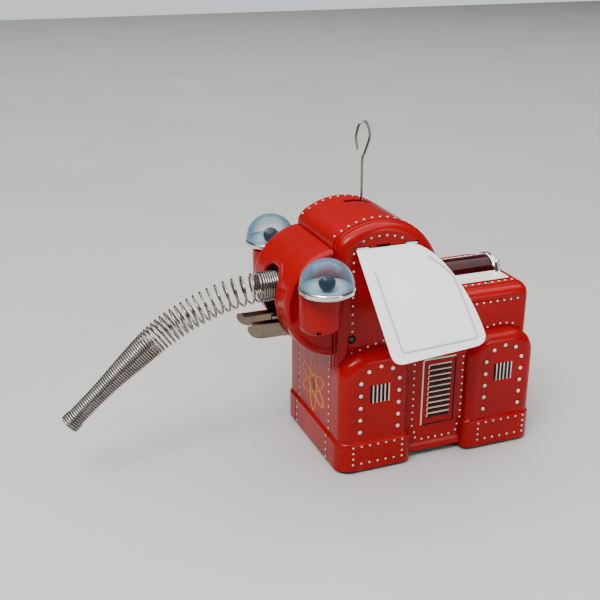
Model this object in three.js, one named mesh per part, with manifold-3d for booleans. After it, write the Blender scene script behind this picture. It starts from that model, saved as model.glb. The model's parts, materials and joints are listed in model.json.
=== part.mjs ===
// Tin wind-up elephant robot: a clockwork toy of pressed tinplate that rolls on hidden wheels.
// The toy faces -X, its left side is -Y and +Z is up. Pieces are laid out about the middle of
// the body with z = 0 at the lower edge of the skirt, and the whole toy is moved at the end so
// that the origin is at the bottom centre of its bounding box. All sizes are in millimetres.
import * as THREE from 'three';
import { mergeVertices } from 'three/addons/utils/BufferGeometryUtils.js';
import Module from 'manifold-3d';

const wasm = await Module();
wasm.setup();

// ---------------------------------------------------------------- driving dimensions
const WALL = 0.6;                 // pressed tinplate, with its lacquer and folds
const GAP = 0.3;                  // kept between pieces that touch
const FAR = 300;                  // reaches past the whole toy when cutting

const BODY = { front: -58.7, rear: 59.6, height: 91, corner: 7 };
const HUMP = { x: -34, z: 99.3, radius: 37 };
const CORE = { half: 30, round: 5 };                 // hump and rump side panels
const BAND = { half: 24 };                           // centre band over hump and rump
const SKIRT = { step: 1.5, height: 16, half: 40.4, round: 2 };
const LEG = { half: 38.9, top: 66.5, shoulder: 14, round: 4, innerFront: -18, innerRear: 17 };
const WAIST = { half: 34.5, top: 66, reach: 22, round: 3, ground: 2.5 };

const HEAD = { x: -58.4, z: 93.1, radius: 29, half: 26.5, round: 3 };
const MOUTH = { half: 11, low: 69, high: 112 };
const EYE = { x: -68.7, y: -41.1, ringLow: 106.8, ringHigh: 109.8, ring: 14.4, dome: 14 };
const PUPIL = { radius: 4.4 };
const EYE_DISH = { radius: EYE.ring - 1.4, depth: 2.6 };
const POD = { x: -70, y: -35.5, radius: 11, low: 84, round: 4 };

const EAR = { y: -31, z: 123, front: -48.5, rear: -17.8, tilt: 35, sheet: 0.6, drop: 61 };
const EAR_TAB = { width: 6, reach: 7.5, places: [-44.5, -17] };
const EAR_SLOT = { width: 8, height: 3.4, places: [-44.5, -33, -17] };

const WINDOW = { front: 3.3, rear: 47, radius: 10.6, crown: 98.8, flange: 20, sheet: 0.8 };
const TAIL = { x: 55.3, z: 93.8, radius: 1.6 };

const ANTENNA = { x: -27, y: 11, pivotZ: 98, neck: 162, top: 179, loop: 4, wire: 0.75 };
const ANTENNA_SLOT = { front: -37.5, rear: -20.5, half: 1.8 };

const TRUNK = { rootRadius: 8.1, tipRadius: 5.4, taperFrom: 0.5, sheet: 0.8, sides: 12, rings: 13 };
const TRUNK_LINE = [[-80, 98], [-98, 97], [-118, 92], [-140, 81.5], [-160, 66.3], [-180, 49], [-194.5, 35.8]];

const COLLAR = { grip: 2.5, flange: 2.2, length: 5, play: 0.8 };

const JAW = { x: -49.6, z: 72.5, hole: 2.4, shaft: 1.4, arm: 8.6, sheet: 0.8 };
const TUSK = { y: 9.8, rear: -76, tip: -100, low: 72.4, high: 80.4, fold: 5 };

const MOTOR = { half: 14, sheet: 1, front: -16, rear: 38, low: 4.5, high: 84 };
const MODULE = 1.2;
const ARBOR = 1.4;                                   // radius of the clockwork's arbors
const TEETH = { great: 30, pinion: 9, wheel: 24, axlePinion: 10 };
const WHEEL = { radius: 12, width: 5, y: 20, groundClearance: 2 };
const AXLE_Z = WHEEL.radius - WHEEL.groundClearance;
const REAR_AXLE = { x: 30, z: AXLE_Z };
const FRONT_AXLE = { x: -38, z: AXLE_Z };
const PLATE = { low: 0.6, high: 1.6, half: 36.5, waistHalf: 33, end: 3 };      // base plate
const BRACKET = { half: 15, sheet: 1, reach: 5, floor: 1.1, above: 4 };      // holds the front axle
const CRANK = { radius: 6, thick: 1.5, throw: 3.5, pin: 0.9, pinLength: 1.5 };
const KEY = {
  gap: 4, grip: 8, barrel: 2.8, length: 16, bow: 8, bowHole: 4.5, bowOut: 13, spread: 9.5, sheet: 1.6,
};
const CLOCK_SPRING = { inner: 3.4, outer: 14.5, turns: 4.5, strip: 0.9 };
const FLINT = { half: 1.2, height: 2.6, front: -7, back: -5, leaf: 0.6, leafHalf: 2, foot: 2 };
const WINDING = { x: 4, z: 44 };
const SPARK = { x: 25, z: 75, radius: 9 };
const ROCKER = { x: -14, z: 104, barX: -40, barZ: 126.2, arm: 19.5, bar: 1.3, sheet: 1 };

// ---------------------------------------------------------------- materials
const material = (color, roughness, metalness, extra = {}) =>
  new THREE.MeshStandardMaterial({ color, roughness, metalness, ...extra });

const finishes = {
  redTin: () => material(0xb80f14, 0.28, 0.15),
  whiteEnamel: () => material(0xe9ebe9, 0.3, 0.05),
  chrome: () => material(0xd4d4d2, 0.18, 1),
  springSteel: () => material(0x9b9a97, 0.3, 1),
  plate: () => material(0x8f9396, 0.45, 0.9),
  brass: () => material(0xb8923f, 0.35, 1),
  blueDome: () => material(0x6f9cb4, 0.08, 0, { transparent: true, opacity: 0.55 }),
  redWindow: () => material(0x5a0d12, 0.1, 0, { transparent: true, opacity: 0.7 }),
  blackPlastic: () => material(0x15161a, 0.25, 0),
  rubber: () => material(0x1d1d1d, 0.85, 0),
  flint: () => material(0x5b554d, 0.8, 0),
};

// ---------------------------------------------------------------- solids and booleans
function toSolid(geometry) {
  const bare = geometry.clone();
  bare.deleteAttribute('normal');
  bare.deleteAttribute('uv');
  const merged = mergeVertices(bare, 1e-4);
  return new wasm.Manifold(new wasm.Mesh({
    numProp: 3,
    vertProperties: new Float32Array(merged.attributes.position.array),
    triVerts: new Uint32Array(merged.index.array),
  }));
}

function toGeometry(solid) {
  const mesh = solid.getMesh();
  const geometry = new THREE.BufferGeometry();
  geometry.setAttribute('position', new THREE.BufferAttribute(mesh.vertProperties, mesh.numProp));
  geometry.setIndex(new THREE.BufferAttribute(mesh.triVerts, 1));
  geometry.computeVertexNormals();
  return geometry;
}

const joined = (...geometries) =>
  toGeometry(geometries.map(toSolid).reduce((whole, next) => whole.add(next)));

const cut = (geometry, ...tools) =>
  toGeometry(tools.map(toSolid).reduce((whole, tool) => whole.subtract(tool), toSolid(geometry)));

const common = (geometry, tool) => toGeometry(toSolid(geometry).intersect(toSolid(tool)));

// Two numbers, the lower one first.
const inOrder = (a, b) => [Math.min(a, b), Math.max(a, b)];

// A box between its lowest and highest corners.
function box(low, high) {
  const size = high.map((value, axis) => value - low[axis]);
  return new THREE.BoxGeometry(...size).translate(...low.map((value, axis) => value + size[axis] / 2));
}

// A round bar along Y from yLow to yHigh.
function barY(x, z, radius, yLow, yHigh, sides = 20) {
  return new THREE.CylinderGeometry(radius, radius, yHigh - yLow, sides)
    .translate(x, (yLow + yHigh) / 2, z);
}

// A round bar along X from xLow to xHigh.
function barX(y, z, radius, xLow, xHigh, sides = 28) {
  return new THREE.CylinderGeometry(radius, radius, xHigh - xLow, sides)
    .rotateZ(Math.PI / 2).translate((xLow + xHigh) / 2, y, z);
}

// A side-view outline (x, z) extruded across Y, with its two edges rounded by `round`.
function acrossY(outline, yLow, yHigh, { round = 0, segments = 2, curveSegments = 12 } = {}) {
  return new THREE.ExtrudeGeometry(outline, {
    depth: yHigh - yLow - 2 * round,
    bevelEnabled: round > 0,
    bevelThickness: round,
    bevelSize: round,
    bevelOffset: -round,
    bevelSegments: segments,
    curveSegments,
  }).rotateX(Math.PI / 2).translate(0, yHigh - round, 0);
}

// The same piece on the toy's other side.
function mirrored(geometry) {
  const twin = geometry.clone().applyMatrix4(new THREE.Matrix4().makeScale(1, -1, 1));
  const order = twin.index ? Array.from(twin.index.array)
    : Array.from({ length: twin.attributes.position.count }, (_, corner) => corner);
  for (let corner = 0; corner < order.length; corner += 3) {
    [order[corner + 1], order[corner + 2]] = [order[corner + 2], order[corner + 1]];
  }
  twin.setIndex(order);
  return twin;
}

// A round wire or strip along a curve.
function wire(points, radius, steps, sides = 8) {
  const section = new THREE.Shape().absarc(0, 0, radius, 0, 2 * Math.PI, false);
  return new THREE.ExtrudeGeometry(section, {
    extrudePath: new THREE.CatmullRomCurve3(points, false, 'centripetal'),
    steps,
    curveSegments: sides / 2,
    bevelEnabled: false,
  });
}

// ---------------------------------------------------------------- the scene
const robot = new THREE.Group();

function add(name, geometry, finish) {
  const mesh = new THREE.Mesh(geometry, finishes[finish]());
  mesh.name = name;
  robot.add(mesh);
}

// Adds a left-side piece and its mirror image on the right.
function addPair(name, leftGeometry, finish) {
  add(`left_${name}`, leftGeometry, finish);
  add(`right_${name}`, mirrored(leftGeometry), finish);
}

// ---------------------------------------------------------------- body shells and band
const BELOW = -10;                // outlines run below the skirt, where the shells are open

function rectangle(xLow, zLow, xHigh, zHigh) {
  return new THREE.Shape([[xLow, zLow], [xHigh, zLow], [xHigh, zHigh], [xLow, zHigh]]
    .map(([x, z]) => new THREE.Vector2(x, z)));
}

// The body seen from the side: flat front, round hump, flat rump with a rounded rear corner.
// `inset` moves every wall inwards.
function bodyOutline(inset = 0) {
  const [front, rear, height] = [BODY.front + inset, BODY.rear - inset, BODY.height - inset];
  const [hump, corner] = [HUMP.radius - inset, BODY.corner - inset];
  const outline = new THREE.Shape();
  outline.moveTo(rear, BELOW);
  outline.lineTo(front, BELOW);
  outline.absarc(HUMP.x, HUMP.z, hump, Math.acos((front - HUMP.x) / hump), 0, true);
  outline.lineTo(HUMP.x + hump, height);
  outline.absarc(rear - corner, height - corner, corner, Math.PI / 2, 0, true);
  return outline;
}

// A leg block: a door shape with rounded shoulders.
function legOutline(xLow, xHigh, inset) {
  const [left, right, top] = [xLow + inset, xHigh - inset, LEG.top - inset];
  const shoulder = LEG.shoulder - inset;
  const outline = new THREE.Shape();
  outline.moveTo(right, BELOW);
  outline.lineTo(left, BELOW);
  outline.absarc(left + shoulder, top - shoulder, shoulder, Math.PI, Math.PI / 2, true);
  outline.absarc(right - shoulder, top - shoulder, shoulder, Math.PI / 2, 0, true);
  return outline;
}

// Every block of the pressed body, with its walls moved inwards by `inset`.
function bodyBlocks(inset) {
  const block = (outline, half, round, segments = 1) =>
    acrossY(outline, inset - half, half - inset, { round: round - inset, segments, curveSegments: 4 });
  const plain = (xLow, xHigh, top) => rectangle(xLow + inset, BELOW, xHigh - inset, top - inset);
  return joined(
    block(bodyOutline(inset), CORE.half, CORE.round, 2),
    block(legOutline(BODY.front, LEG.innerFront, inset), LEG.half, LEG.round, 2),
    block(legOutline(LEG.innerRear, BODY.rear, inset), LEG.half, LEG.round, 2),
    block(plain(-WAIST.reach, WAIST.reach, WAIST.top), WAIST.half, WAIST.round),
    block(plain(BODY.front - SKIRT.step, LEG.innerFront + SKIRT.step, SKIRT.height), SKIRT.half, SKIRT.round),
    block(plain(LEG.innerRear, BODY.rear + SKIRT.step, SKIRT.height), SKIRT.half, SKIRT.round),
    block(plain(-WAIST.reach, WAIST.reach, SKIRT.height), WAIST.half + SKIRT.step, SKIRT.round),
  );
}

const belowSkirt = box([-FAR, -FAR, -FAR], [FAR, FAR, 0]);
const belowWaist = box([LEG.innerFront + SKIRT.step, -FAR, -FAR], [LEG.innerRear, FAR, WAIST.ground]);

function earSlots() {
  return EAR_SLOT.places.map((x) => box(
    [x - EAR_SLOT.width / 2, -CORE.half - 1, EAR.z - EAR_SLOT.height / 2],
    [x + EAR_SLOT.width / 2, -CORE.half + 2, EAR.z + EAR_SLOT.height / 2]));
}

function leftShell() {
  const hollow = cut(bodyBlocks(0), bodyBlocks(WALL), belowSkirt, belowWaist);
  const side = common(hollow, box([-FAR, -FAR, -FAR], [FAR, -BAND.half - GAP, FAR]));
  return cut(side, barY(JAW.x, JAW.z, JAW.hole, -FAR, 0), ...earSlots());
}

function centreBand() {
  const layer = (inset, half) => joined(
    acrossY(bodyOutline(inset), -half, half, { curveSegments: 4 }),
    acrossY(rectangle(BODY.front - SKIRT.step + inset, BELOW, BODY.rear + SKIRT.step - inset,
      SKIRT.height - inset), -half, half));
  const outside = layer(0, BAND.half);
  const inside = layer(WALL, BAND.half + 1);
  const antennaSlot = box([ANTENNA_SLOT.front, ANTENNA.y - ANTENNA_SLOT.half, HUMP.z + HUMP.radius / 2],
    [ANTENNA_SLOT.rear, ANTENNA.y + ANTENNA_SLOT.half, FAR]);
  const sparkOpening = box([WINDOW.front + 3, -8, BODY.height - 2], [WINDOW.rear - 3, 8, BODY.height + 2]);
  const jawOpening = box([BODY.front - 1, -MOUTH.half - 1, JAW.z - 6],
    [BODY.front + 1, MOUTH.half + 1, JAW.z + 10]);
  return cut(outside, inside, belowSkirt, antennaSlot, sparkOpening, jawOpening);
}

// The base plate closes the body from below, with a slot for each wheel.
function basePlate() {
  const { low, high, half, waistHalf, end } = PLATE;
  const front = box([BODY.front + end, -half, low], [LEG.innerFront, half, high]);
  const rear = box([LEG.innerRear + end - 1, -half, low], [BODY.rear - end, half, high]);
  const middle = box([LEG.innerFront - 1, -waistHalf, low], [LEG.innerRear + end, waistHalf, high]);
  const slotHalf = WHEEL.radius - 1;
  const wheelSlots = [REAR_AXLE, FRONT_AXLE].flatMap(({ x }) => [-1, 1].map((side) => {
    const [yInner, yOuter] = inOrder(side * (WHEEL.y - 1), side * (WHEEL.y + WHEEL.width + 1));
    return box([x - slotHalf, yInner, low - 1], [x + slotHalf, yOuter, high + 1]);
  }));
  return cut(joined(front, rear, middle), ...wheelSlots);
}

add('left_shell', leftShell(), 'redTin');
add('right_shell', cut(mirrored(leftShell()), barY(WINDING.x, WINDING.z, 3.2, 0, FAR)), 'redTin');
add('centre_band', centreBand(), 'redTin');
add('base_plate', basePlate(), 'plate');

// ---------------------------------------------------------------- head and eyes
const dishLow = EYE.ringHigh - 0.2 - EYE_DISH.depth;

function halfDrum(inset) {
  const radius = HEAD.radius - inset;
  const outline = new THREE.Shape();
  outline.moveTo(0, HEAD.z + radius);
  outline.lineTo(0, HEAD.z - radius);
  outline.absarc(HEAD.x, HEAD.z, radius, 1.5 * Math.PI, Math.PI / 2, true);
  return acrossY(outline, inset - HEAD.half, HEAD.half - inset,
    { round: HEAD.round - inset, curveSegments: 9 });
}

function headShell() {
  const behindFace = box([BODY.front - GAP, -FAR, -FAR], [FAR, FAR, FAR]);
  const mouth = box([-FAR, -MOUTH.half, MOUTH.low], [HEAD.x - 8, MOUTH.half, MOUTH.high]);
  return cut(halfDrum(0), halfDrum(WALL), behindFace, mouth);
}

// A pod is a round-fronted bracket that carries the eye, open at the top.
function eyePod() {
  const top = dishLow - WALL - GAP;
  const back = -HEAD.half - GAP;
  const section = (radius, backY) => {
    const outline = new THREE.Shape();
    outline.moveTo(POD.x + radius, backY);
    outline.lineTo(POD.x - radius, backY);
    outline.absarc(POD.x, POD.y, radius, Math.PI, 2 * Math.PI, false);
    return outline;
  };
  const body = (radius, backY, low, round) => new THREE.ExtrudeGeometry(section(radius, backY), {
    depth: FAR / 10,
    bevelThickness: round,
    bevelSize: round,
    bevelOffset: -round,
    bevelSegments: 2,
    curveSegments: 12,
  }).translate(0, 0, low + round);
  const outside = body(POD.radius, back, POD.low, POD.round);
  const inside = body(POD.radius - WALL, back - WALL, POD.low + WALL, POD.round - WALL);
  return cut(outside, inside, box([-FAR, -FAR, top], [FAR, FAR, FAR]));
}

// The chrome ring holds a shallow dish, just below its rim, that the pupil ball rolls in.
function eyeRing() {
  const height = EYE.ringHigh - EYE.ringLow;
  const dish = [1, 0.66, 0.33, 0].map((part) =>
    new THREE.Vector2(EYE_DISH.radius * part, dishLow + EYE_DISH.depth * part * part - EYE.ringLow));
  const bottom = dishLow - WALL - EYE.ringLow;
  const profile = [
    new THREE.Vector2(0, bottom),
    new THREE.Vector2(EYE.ring - 2, bottom),
    new THREE.Vector2(EYE.ring, 0.6),
    new THREE.Vector2(EYE.ring, height - 0.6),
    new THREE.Vector2(EYE.ring - 0.6, height),
    ...dish,
  ];
  return new THREE.LatheGeometry(profile, 22).rotateX(Math.PI / 2).translate(EYE.x, EYE.y, EYE.ringLow);
}

// A hollow half ball, open below.
function eyeDome() {
  const steps = 5;
  const point = (radius, step) => {
    const angle = Math.PI / 2 * step / steps;
    return new THREE.Vector2(step === 0 ? 0 : radius * Math.sin(angle), radius * Math.cos(angle));
  };
  const outside = Array.from({ length: steps + 1 }, (_, step) => point(EYE.dome, step));
  const inside = Array.from({ length: steps + 1 }, (_, step) => point(EYE.dome - 1, step));
  return new THREE.LatheGeometry([...inside, ...outside.reverse()], 20).rotateX(Math.PI / 2)
    .translate(EYE.x, EYE.y, EYE.ringHigh + GAP);
}

function pupil() {
  return new THREE.SphereGeometry(PUPIL.radius, 12, 8).rotateX(Math.PI / 2)
    .translate(EYE.x, EYE.y, dishLow + GAP + PUPIL.radius);
}

add('head_shell', headShell(), 'redTin');
addPair('eye_pod', eyePod(), 'redTin');
addPair('eye_ring', eyeRing(), 'chrome');
addPair('eye_dome', eyeDome(), 'blueDome');
addPair('pupil', pupil(), 'blackPlastic');

// ---------------------------------------------------------------- rear window and tail knob
function barrel(radius, front, rear) {
  return barX(0, WINDOW.crown - WINDOW.radius, radius, front, rear, 32);
}

function windowCover() {
  const belowRump = box([-FAR, -FAR, -FAR], [FAR, FAR, BODY.height + GAP]);
  return cut(barrel(WINDOW.radius, WINDOW.front, WINDOW.rear),
    barrel(WINDOW.radius - WINDOW.sheet, WINDOW.front - 1, WINDOW.rear - WINDOW.sheet), belowRump);
}

// A chrome strip on each side of the window, joined by an arch over its rear end.
function windowBezel() {
  const low = BODY.height + GAP;
  const archRear = WINDOW.rear + 3.5;
  const strips = [-1, 1].map((side) => {
    const [yLow, yHigh] = inOrder(side * (WINDOW.radius + GAP), side * WINDOW.flange);
    return box([WINDOW.front, yLow, low], [archRear, yHigh, low + WINDOW.sheet]);
  });
  const arch = cut(barrel(WINDOW.radius + 1.6, WINDOW.rear + GAP, archRear),
    barrel(WINDOW.radius - 1.5, WINDOW.rear - 1, archRear + 1),
    box([-FAR, -FAR, -FAR], [FAR, FAR, low]));
  return joined(...strips, arch);
}

function tailKnob() {
  const stemLow = BODY.height + GAP;
  const stem = new THREE.CylinderGeometry(0.7, 0.9, TAIL.z - stemLow, 10)
    .rotateX(Math.PI / 2).translate(TAIL.x, 0, (TAIL.z + stemLow) / 2);
  const ball = new THREE.SphereGeometry(TAIL.radius, 12, 8).translate(TAIL.x, 0, TAIL.z);
  return joined(stem, ball);
}

add('window_cover', windowCover(), 'redWindow');
add('window_bezel', windowBezel(), 'chrome');
add('tail_knob', tailKnob(), 'chrome');

// ---------------------------------------------------------------- ears
// The ear plate is drawn flat: x along the hinge line and y the distance down from it.
function earOutline() {
  const outline = new THREE.Shape();
  outline.moveTo(EAR.front, 0);
  outline.lineTo(EAR.rear, 0);
  outline.bezierCurveTo(-6, 1.5, 8, 22, 11.5, 51);
  outline.bezierCurveTo(12, 56.5, 8, 58, 3.5, 58.3);
  outline.lineTo(-37, EAR.drop);
  outline.bezierCurveTo(-42, EAR.drop, -43, 58, -43.3, 54);
  return outline;
}

function leftEar() {
  const plate = new THREE.ExtrudeGeometry(earOutline(), {
    depth: EAR.sheet, bevelEnabled: false, curveSegments: 8,
  }).rotateX(-THREE.MathUtils.degToRad(90 + EAR.tilt));
  const placed = plate.translate(0, EAR.y, EAR.z);
  const tabs = EAR_TAB.places.map((x) => box(
    [x - EAR_TAB.width / 2, EAR.y - 0.2, EAR.z - EAR.sheet / 2],
    [x + EAR_TAB.width / 2, EAR.y + EAR_TAB.reach, EAR.z + EAR.sheet / 2]));
  return joined(placed, ...tabs);
}

addPair('ear', leftEar(), 'whiteEnamel');

// ---------------------------------------------------------------- trunk and antenna
function trunkSpring() {
  const line = new THREE.CatmullRomCurve3(TRUNK_LINE.map(([x, z]) => new THREE.Vector3(x, 0, z)));
  const radiusAt = (part) => {
    const taper = Math.max(0, part - TRUNK.taperFrom) / (1 - TRUNK.taperFrom);
    return TRUNK.rootRadius + (TRUNK.tipRadius - TRUNK.rootRadius) * THREE.MathUtils.smoothstep(taper, 0, 1);
  };
  const parts = Array.from({ length: TRUNK.rings + 1 }, (_, ring) => ring / TRUNK.rings);
  const outside = parts.map((part) => new THREE.Vector2(radiusAt(part), part));
  const inside = parts.map((part) => new THREE.Vector2(radiusAt(part) - TRUNK.sheet, part)).reverse();
  const tube = new THREE.LatheGeometry([...outside, ...inside, outside[0].clone()], TRUNK.sides);
  const vertices = tube.attributes.position;
  for (let index = 0; index < vertices.count; index += 1) {
    const part = vertices.getY(index);
    const centre = line.getPointAt(part);
    const along = line.getTangentAt(part);
    const up = new THREE.Vector3(-along.z, 0, along.x);
    centre.addScaledVector(up, vertices.getX(index));
    vertices.setXYZ(index, centre.x, vertices.getZ(index), centre.z);
  }
  return cut(tube);
}

// The collar grips the trunk's first coils from inside and turns on a post behind it.
function trunkCollar() {
  const [x, z] = TRUNK_LINE[0];
  const plugRadius = TRUNK.rootRadius - TRUNK.sheet - COLLAR.play;
  const plug = barX(0, z, plugRadius, x - COLLAR.grip, x + COLLAR.length, 16);
  const flange = barX(0, z, TRUNK.rootRadius, x + COLLAR.flange, x + COLLAR.length, 16);
  return joined(plug, flange);
}

function trunkPost() {
  const [x, z] = TRUNK_LINE[0];
  const foot = BODY.front - GAP;
  return joined(barX(0, z, 2, x + COLLAR.length + COLLAR.play, foot - 0.5, 12),
    barX(0, z, 6, foot - 1.5, foot, 12));
}

// A wire lever: an eye on the pivot pin, a straight antenna and a teardrop finger loop.
function antennaLever() {
  const { x, y, pivotZ, neck, top, loop } = ANTENNA;
  const point = (dx, z) => new THREE.Vector3(x + dx, y, z);
  const middle = (neck + top) / 2;
  const path = [point(0, pivotZ + 3), point(0, neck - 20), point(0, neck - 4), point(loop * 0.35, neck),
    point(loop, middle), point(loop * 0.6, top - 2), point(0, top), point(-loop * 0.6, top - 2),
    point(-loop, middle), point(-loop * 0.75, neck + 2)];
  const rod = wire(path, ANTENNA.wire, 36, 6);
  const eye = cut(barY(x, pivotZ, 3.6, y - 1, y + 1, 16), barY(x, pivotZ, 1.8, y - 2, y + 2, 16));
  const tailPath = [point(0, pivotZ - 3), point(4, pivotZ - 20), point(11, pivotZ - 38)];
  const tail = wire(tailPath, ANTENNA.wire, 4, 6);
  return joined(rod, eye, tail);
}

function antennaPivot() {
  return joined(barY(ANTENNA.x, ANTENNA.pivotZ, 1.5, ANTENNA.y - 2.5, CORE.half - 1.5, 14),
    barY(ANTENNA.x, ANTENNA.pivotZ, 3, ANTENNA.y + 1 + GAP, ANTENNA.y + 4, 14));
}

add('trunk_spring', trunkSpring(), 'springSteel');
add('trunk_collar', trunkCollar(), 'plate');
add('trunk_post', trunkPost(), 'plate');
add('antenna_lever', antennaLever(), 'springSteel');
add('antenna_pivot', antennaPivot(), 'plate');

// ---------------------------------------------------------------- jaw and tusks
function jawLever() {
  const [rear, front] = [JAW.x + 4, TUSK.rear - 4];
  const arms = [-1, 1].map((side) => {
    const [yLow, yHigh] = inOrder(side * (JAW.arm - JAW.sheet), side * JAW.arm);
    return box([front, yLow, JAW.z - 1], [rear, yHigh, JAW.z + 4]);
  });
  const web = box([BODY.front - 12, -JAW.arm, JAW.z + 3], [BODY.front - 4, JAW.arm, JAW.z + 4]);
  const bore = barY(JAW.x, JAW.z + 1, JAW.shaft + GAP, -FAR, FAR, 14);
  return cut(joined(...arms, web), bore);
}

// A polished blade with a rounded lower tip and a top flange folded inwards.
function leftTusk() {
  const { rear, tip, low, high, fold } = TUSK;
  const outline = new THREE.Shape();
  outline.moveTo(rear, low);
  outline.lineTo(tip + 7, low);
  outline.bezierCurveTo(tip + 2, low, tip, high - 5, tip, high - 2);
  outline.lineTo(tip + 1, high);
  outline.lineTo(rear, high);
  const blade = acrossY(outline, -TUSK.y, JAW.sheet - TUSK.y, { curveSegments: 6 });
  const flange = box([tip + 3, -TUSK.y, high - JAW.sheet], [rear, fold - TUSK.y, high]);
  return joined(blade, flange);
}

add('jaw_shaft', barY(JAW.x, JAW.z + 1, JAW.shaft, -CORE.half, CORE.half, 14), 'plate');
add('jaw_lever', jawLever(), 'plate');
addPair('tusk', leftTusk(), 'chrome');

// ---------------------------------------------------------------- clockwork
// One gear outline with involute teeth; `phase` is the angle of its first tooth.
function gearOutline(teeth, phase) {
  const pitch = MODULE * teeth / 2;
  const pressure = THREE.MathUtils.degToRad(20);
  const base = pitch * Math.cos(pressure);
  const [root, tip] = [pitch - 1.2 * MODULE, pitch + 0.8 * MODULE];
  const involute = (angle) => Math.tan(angle) - angle;
  const backlash = 0.8;
  const halfWidth = (radius) => {
    const angle = Math.acos(Math.min(1, base / Math.max(radius, base)));
    return Math.PI / (2 * teeth) * backlash + involute(pressure) - involute(angle);
  };
  const flank = [root, pitch, tip];
  const points = [];
  for (let tooth = 0; tooth < teeth; tooth += 1) {
    const centre = phase + 2 * Math.PI * tooth / teeth;
    const rising = flank.map((radius) => [radius, centre - halfWidth(radius)]);
    const falling = flank.map((radius) => [radius, centre + halfWidth(radius)]).reverse();
    points.push(...[...rising, ...falling].map(([radius, angle]) =>
      new THREE.Vector2(radius * Math.cos(angle), radius * Math.sin(angle))));
  }
  return new THREE.Shape(points);
}

function gear(shaft, teeth, phase, yLow, yHigh, bore = 0) {
  const outline = gearOutline(teeth, phase);
  if (bore > 0) {
    outline.holes.push(new THREE.Path().absarc(0, 0, bore, 0, 2 * Math.PI, true));
  }
  return acrossY(outline, yLow, yHigh, { curveSegments: 7 }).translate(shaft.x, 0, shaft.z);
}

// Where a third shaft meshes with two others, on the side given by `turn`.
function meshingShaft(a, reachA, b, reachB, turn) {
  const [dx, dz] = [b.x - a.x, b.z - a.z];
  const apart = Math.hypot(dx, dz);
  const along = (reachA ** 2 - reachB ** 2 + apart ** 2) / (2 * apart);
  const aside = turn * Math.sqrt(reachA ** 2 - along ** 2);
  return { x: a.x + (dx * along - dz * aside) / apart, z: a.z + (dz * along + dx * aside) / apart };
}

// The phase that puts a gap of the driven gear over a tooth of the driving gear.
function meshedPhase(driver, driverTeeth, driverPhase, driven, drivenTeeth) {
  const line = Math.atan2(driven.z - driver.z, driven.x - driver.x);
  return line + Math.PI + Math.PI / drivenTeeth - (driverPhase - line) * driverTeeth / drivenTeeth;
}

const reach = (teethA, teethB) => MODULE * (teethA + teethB) / 2;
const second = meshingShaft(WINDING, reach(TEETH.great, TEETH.pinion),
  REAR_AXLE, reach(TEETH.wheel, TEETH.axlePinion), 1);
const third = meshingShaft(WINDING, reach(TEETH.great, TEETH.pinion),
  SPARK, reach(TEETH.wheel, TEETH.pinion), -1);

const layers = { great: [9.5, 11.5], drive: [5.5, 7.5], train: [1.5, 3.5], spring: [-12.5, -0.5] };
const OVERLAP = 1;                // a pinion is this much longer than its wheel on each side
const plateFace = MOTOR.half + MOTOR.sheet;

// A pinion cut in one piece with its arbor, which runs in both motor plates.
function pinionArbor(shaft, teeth, phase, [low, high]) {
  return joined(gear(shaft, teeth, phase, low - OVERLAP, high + OVERLAP),
    barY(shaft.x, shaft.z, ARBOR, -plateFace - 1, plateFace + 1, 12));
}

const bored = (shaft, teeth, phase, [low, high]) => gear(shaft, teeth, phase, low, high, ARBOR + GAP);

function motorPlate() {
  const outline = rectangle(MOTOR.front, MOTOR.low, MOTOR.rear, MOTOR.high);
  const bearings = [WINDING, second, third, SPARK, REAR_AXLE];
  bearings.forEach(({ x, z }) =>
    outline.holes.push(new THREE.Path().absarc(x, z, ARBOR + GAP + 0.3, 0, 2 * Math.PI, true)));
  return acrossY(outline, -plateFace, -MOTOR.half, { curveSegments: 7 });
}

function pillar(x, z) {
  return barY(x, z, 2, GAP - MOTOR.half, MOTOR.half - GAP, 10);
}

// A flat spiral of clock spring around the winding arbor.
function mainspring() {
  const { inner, outer, turns, strip } = CLOCK_SPRING;
  const steps = 54;
  const side = (offset) => Array.from({ length: steps + 1 }, (_, step) => {
    const radius = inner + (outer - inner) * step / steps + offset;
    const angle = 2 * Math.PI * turns * step / steps;
    return new THREE.Vector2(WINDING.x + radius * Math.cos(angle), WINDING.z + radius * Math.sin(angle));
  });
  const outline = new THREE.Shape([...side(-strip / 2), ...side(strip / 2).reverse()]);
  return acrossY(outline, ...layers.spring);
}

const keyLow = WAIST.half + KEY.gap;

function windingArbor() {
  return barY(WINDING.x, WINDING.z, ARBOR, -plateFace - 1, keyLow + KEY.grip, 12);
}

// A butterfly key: two round bows on a short barrel.
function windingKey() {
  const disc = (side, radius, thick) => new THREE.CylinderGeometry(radius, radius, thick, 16)
    .rotateX(Math.PI / 2).translate(WINDING.x + side * KEY.spread, keyLow + KEY.bowOut, WINDING.z);
  const bows = [-1, 1].map((side) =>
    cut(disc(side, KEY.bow, KEY.sheet), disc(side, KEY.bowHole, 2 * KEY.sheet)));
  const stem = barY(WINDING.x, WINDING.z, KEY.barrel, keyLow, keyLow + KEY.length, 16);
  const socket = barY(WINDING.x, WINDING.z, ARBOR + GAP, keyLow - 1, keyLow + KEY.grip + GAP, 12);
  return joined(...bows, cut(stem, socket));
}

// The crank disc turns outside the left plate; its short pin drives the link rod.
function crankDisc() {
  const y = -plateFace - 1 - GAP;
  const pinEnd = y - CRANK.thick - CRANK.pinLength;
  return joined(barY(second.x, second.z, CRANK.radius, y - CRANK.thick, y, 18),
    barY(second.x + CRANK.throw, second.z, CRANK.pin, pinEnd, y, 8));
}

function roadWheel(axle) {
  const [low, high] = [-WHEEL.y - WHEEL.width, -WHEEL.y];
  return cut(barY(axle.x, axle.z, WHEEL.radius, low, high, 28),
    barY(axle.x, axle.z, ARBOR + GAP, low - 1, high + 1, 12));
}

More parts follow.
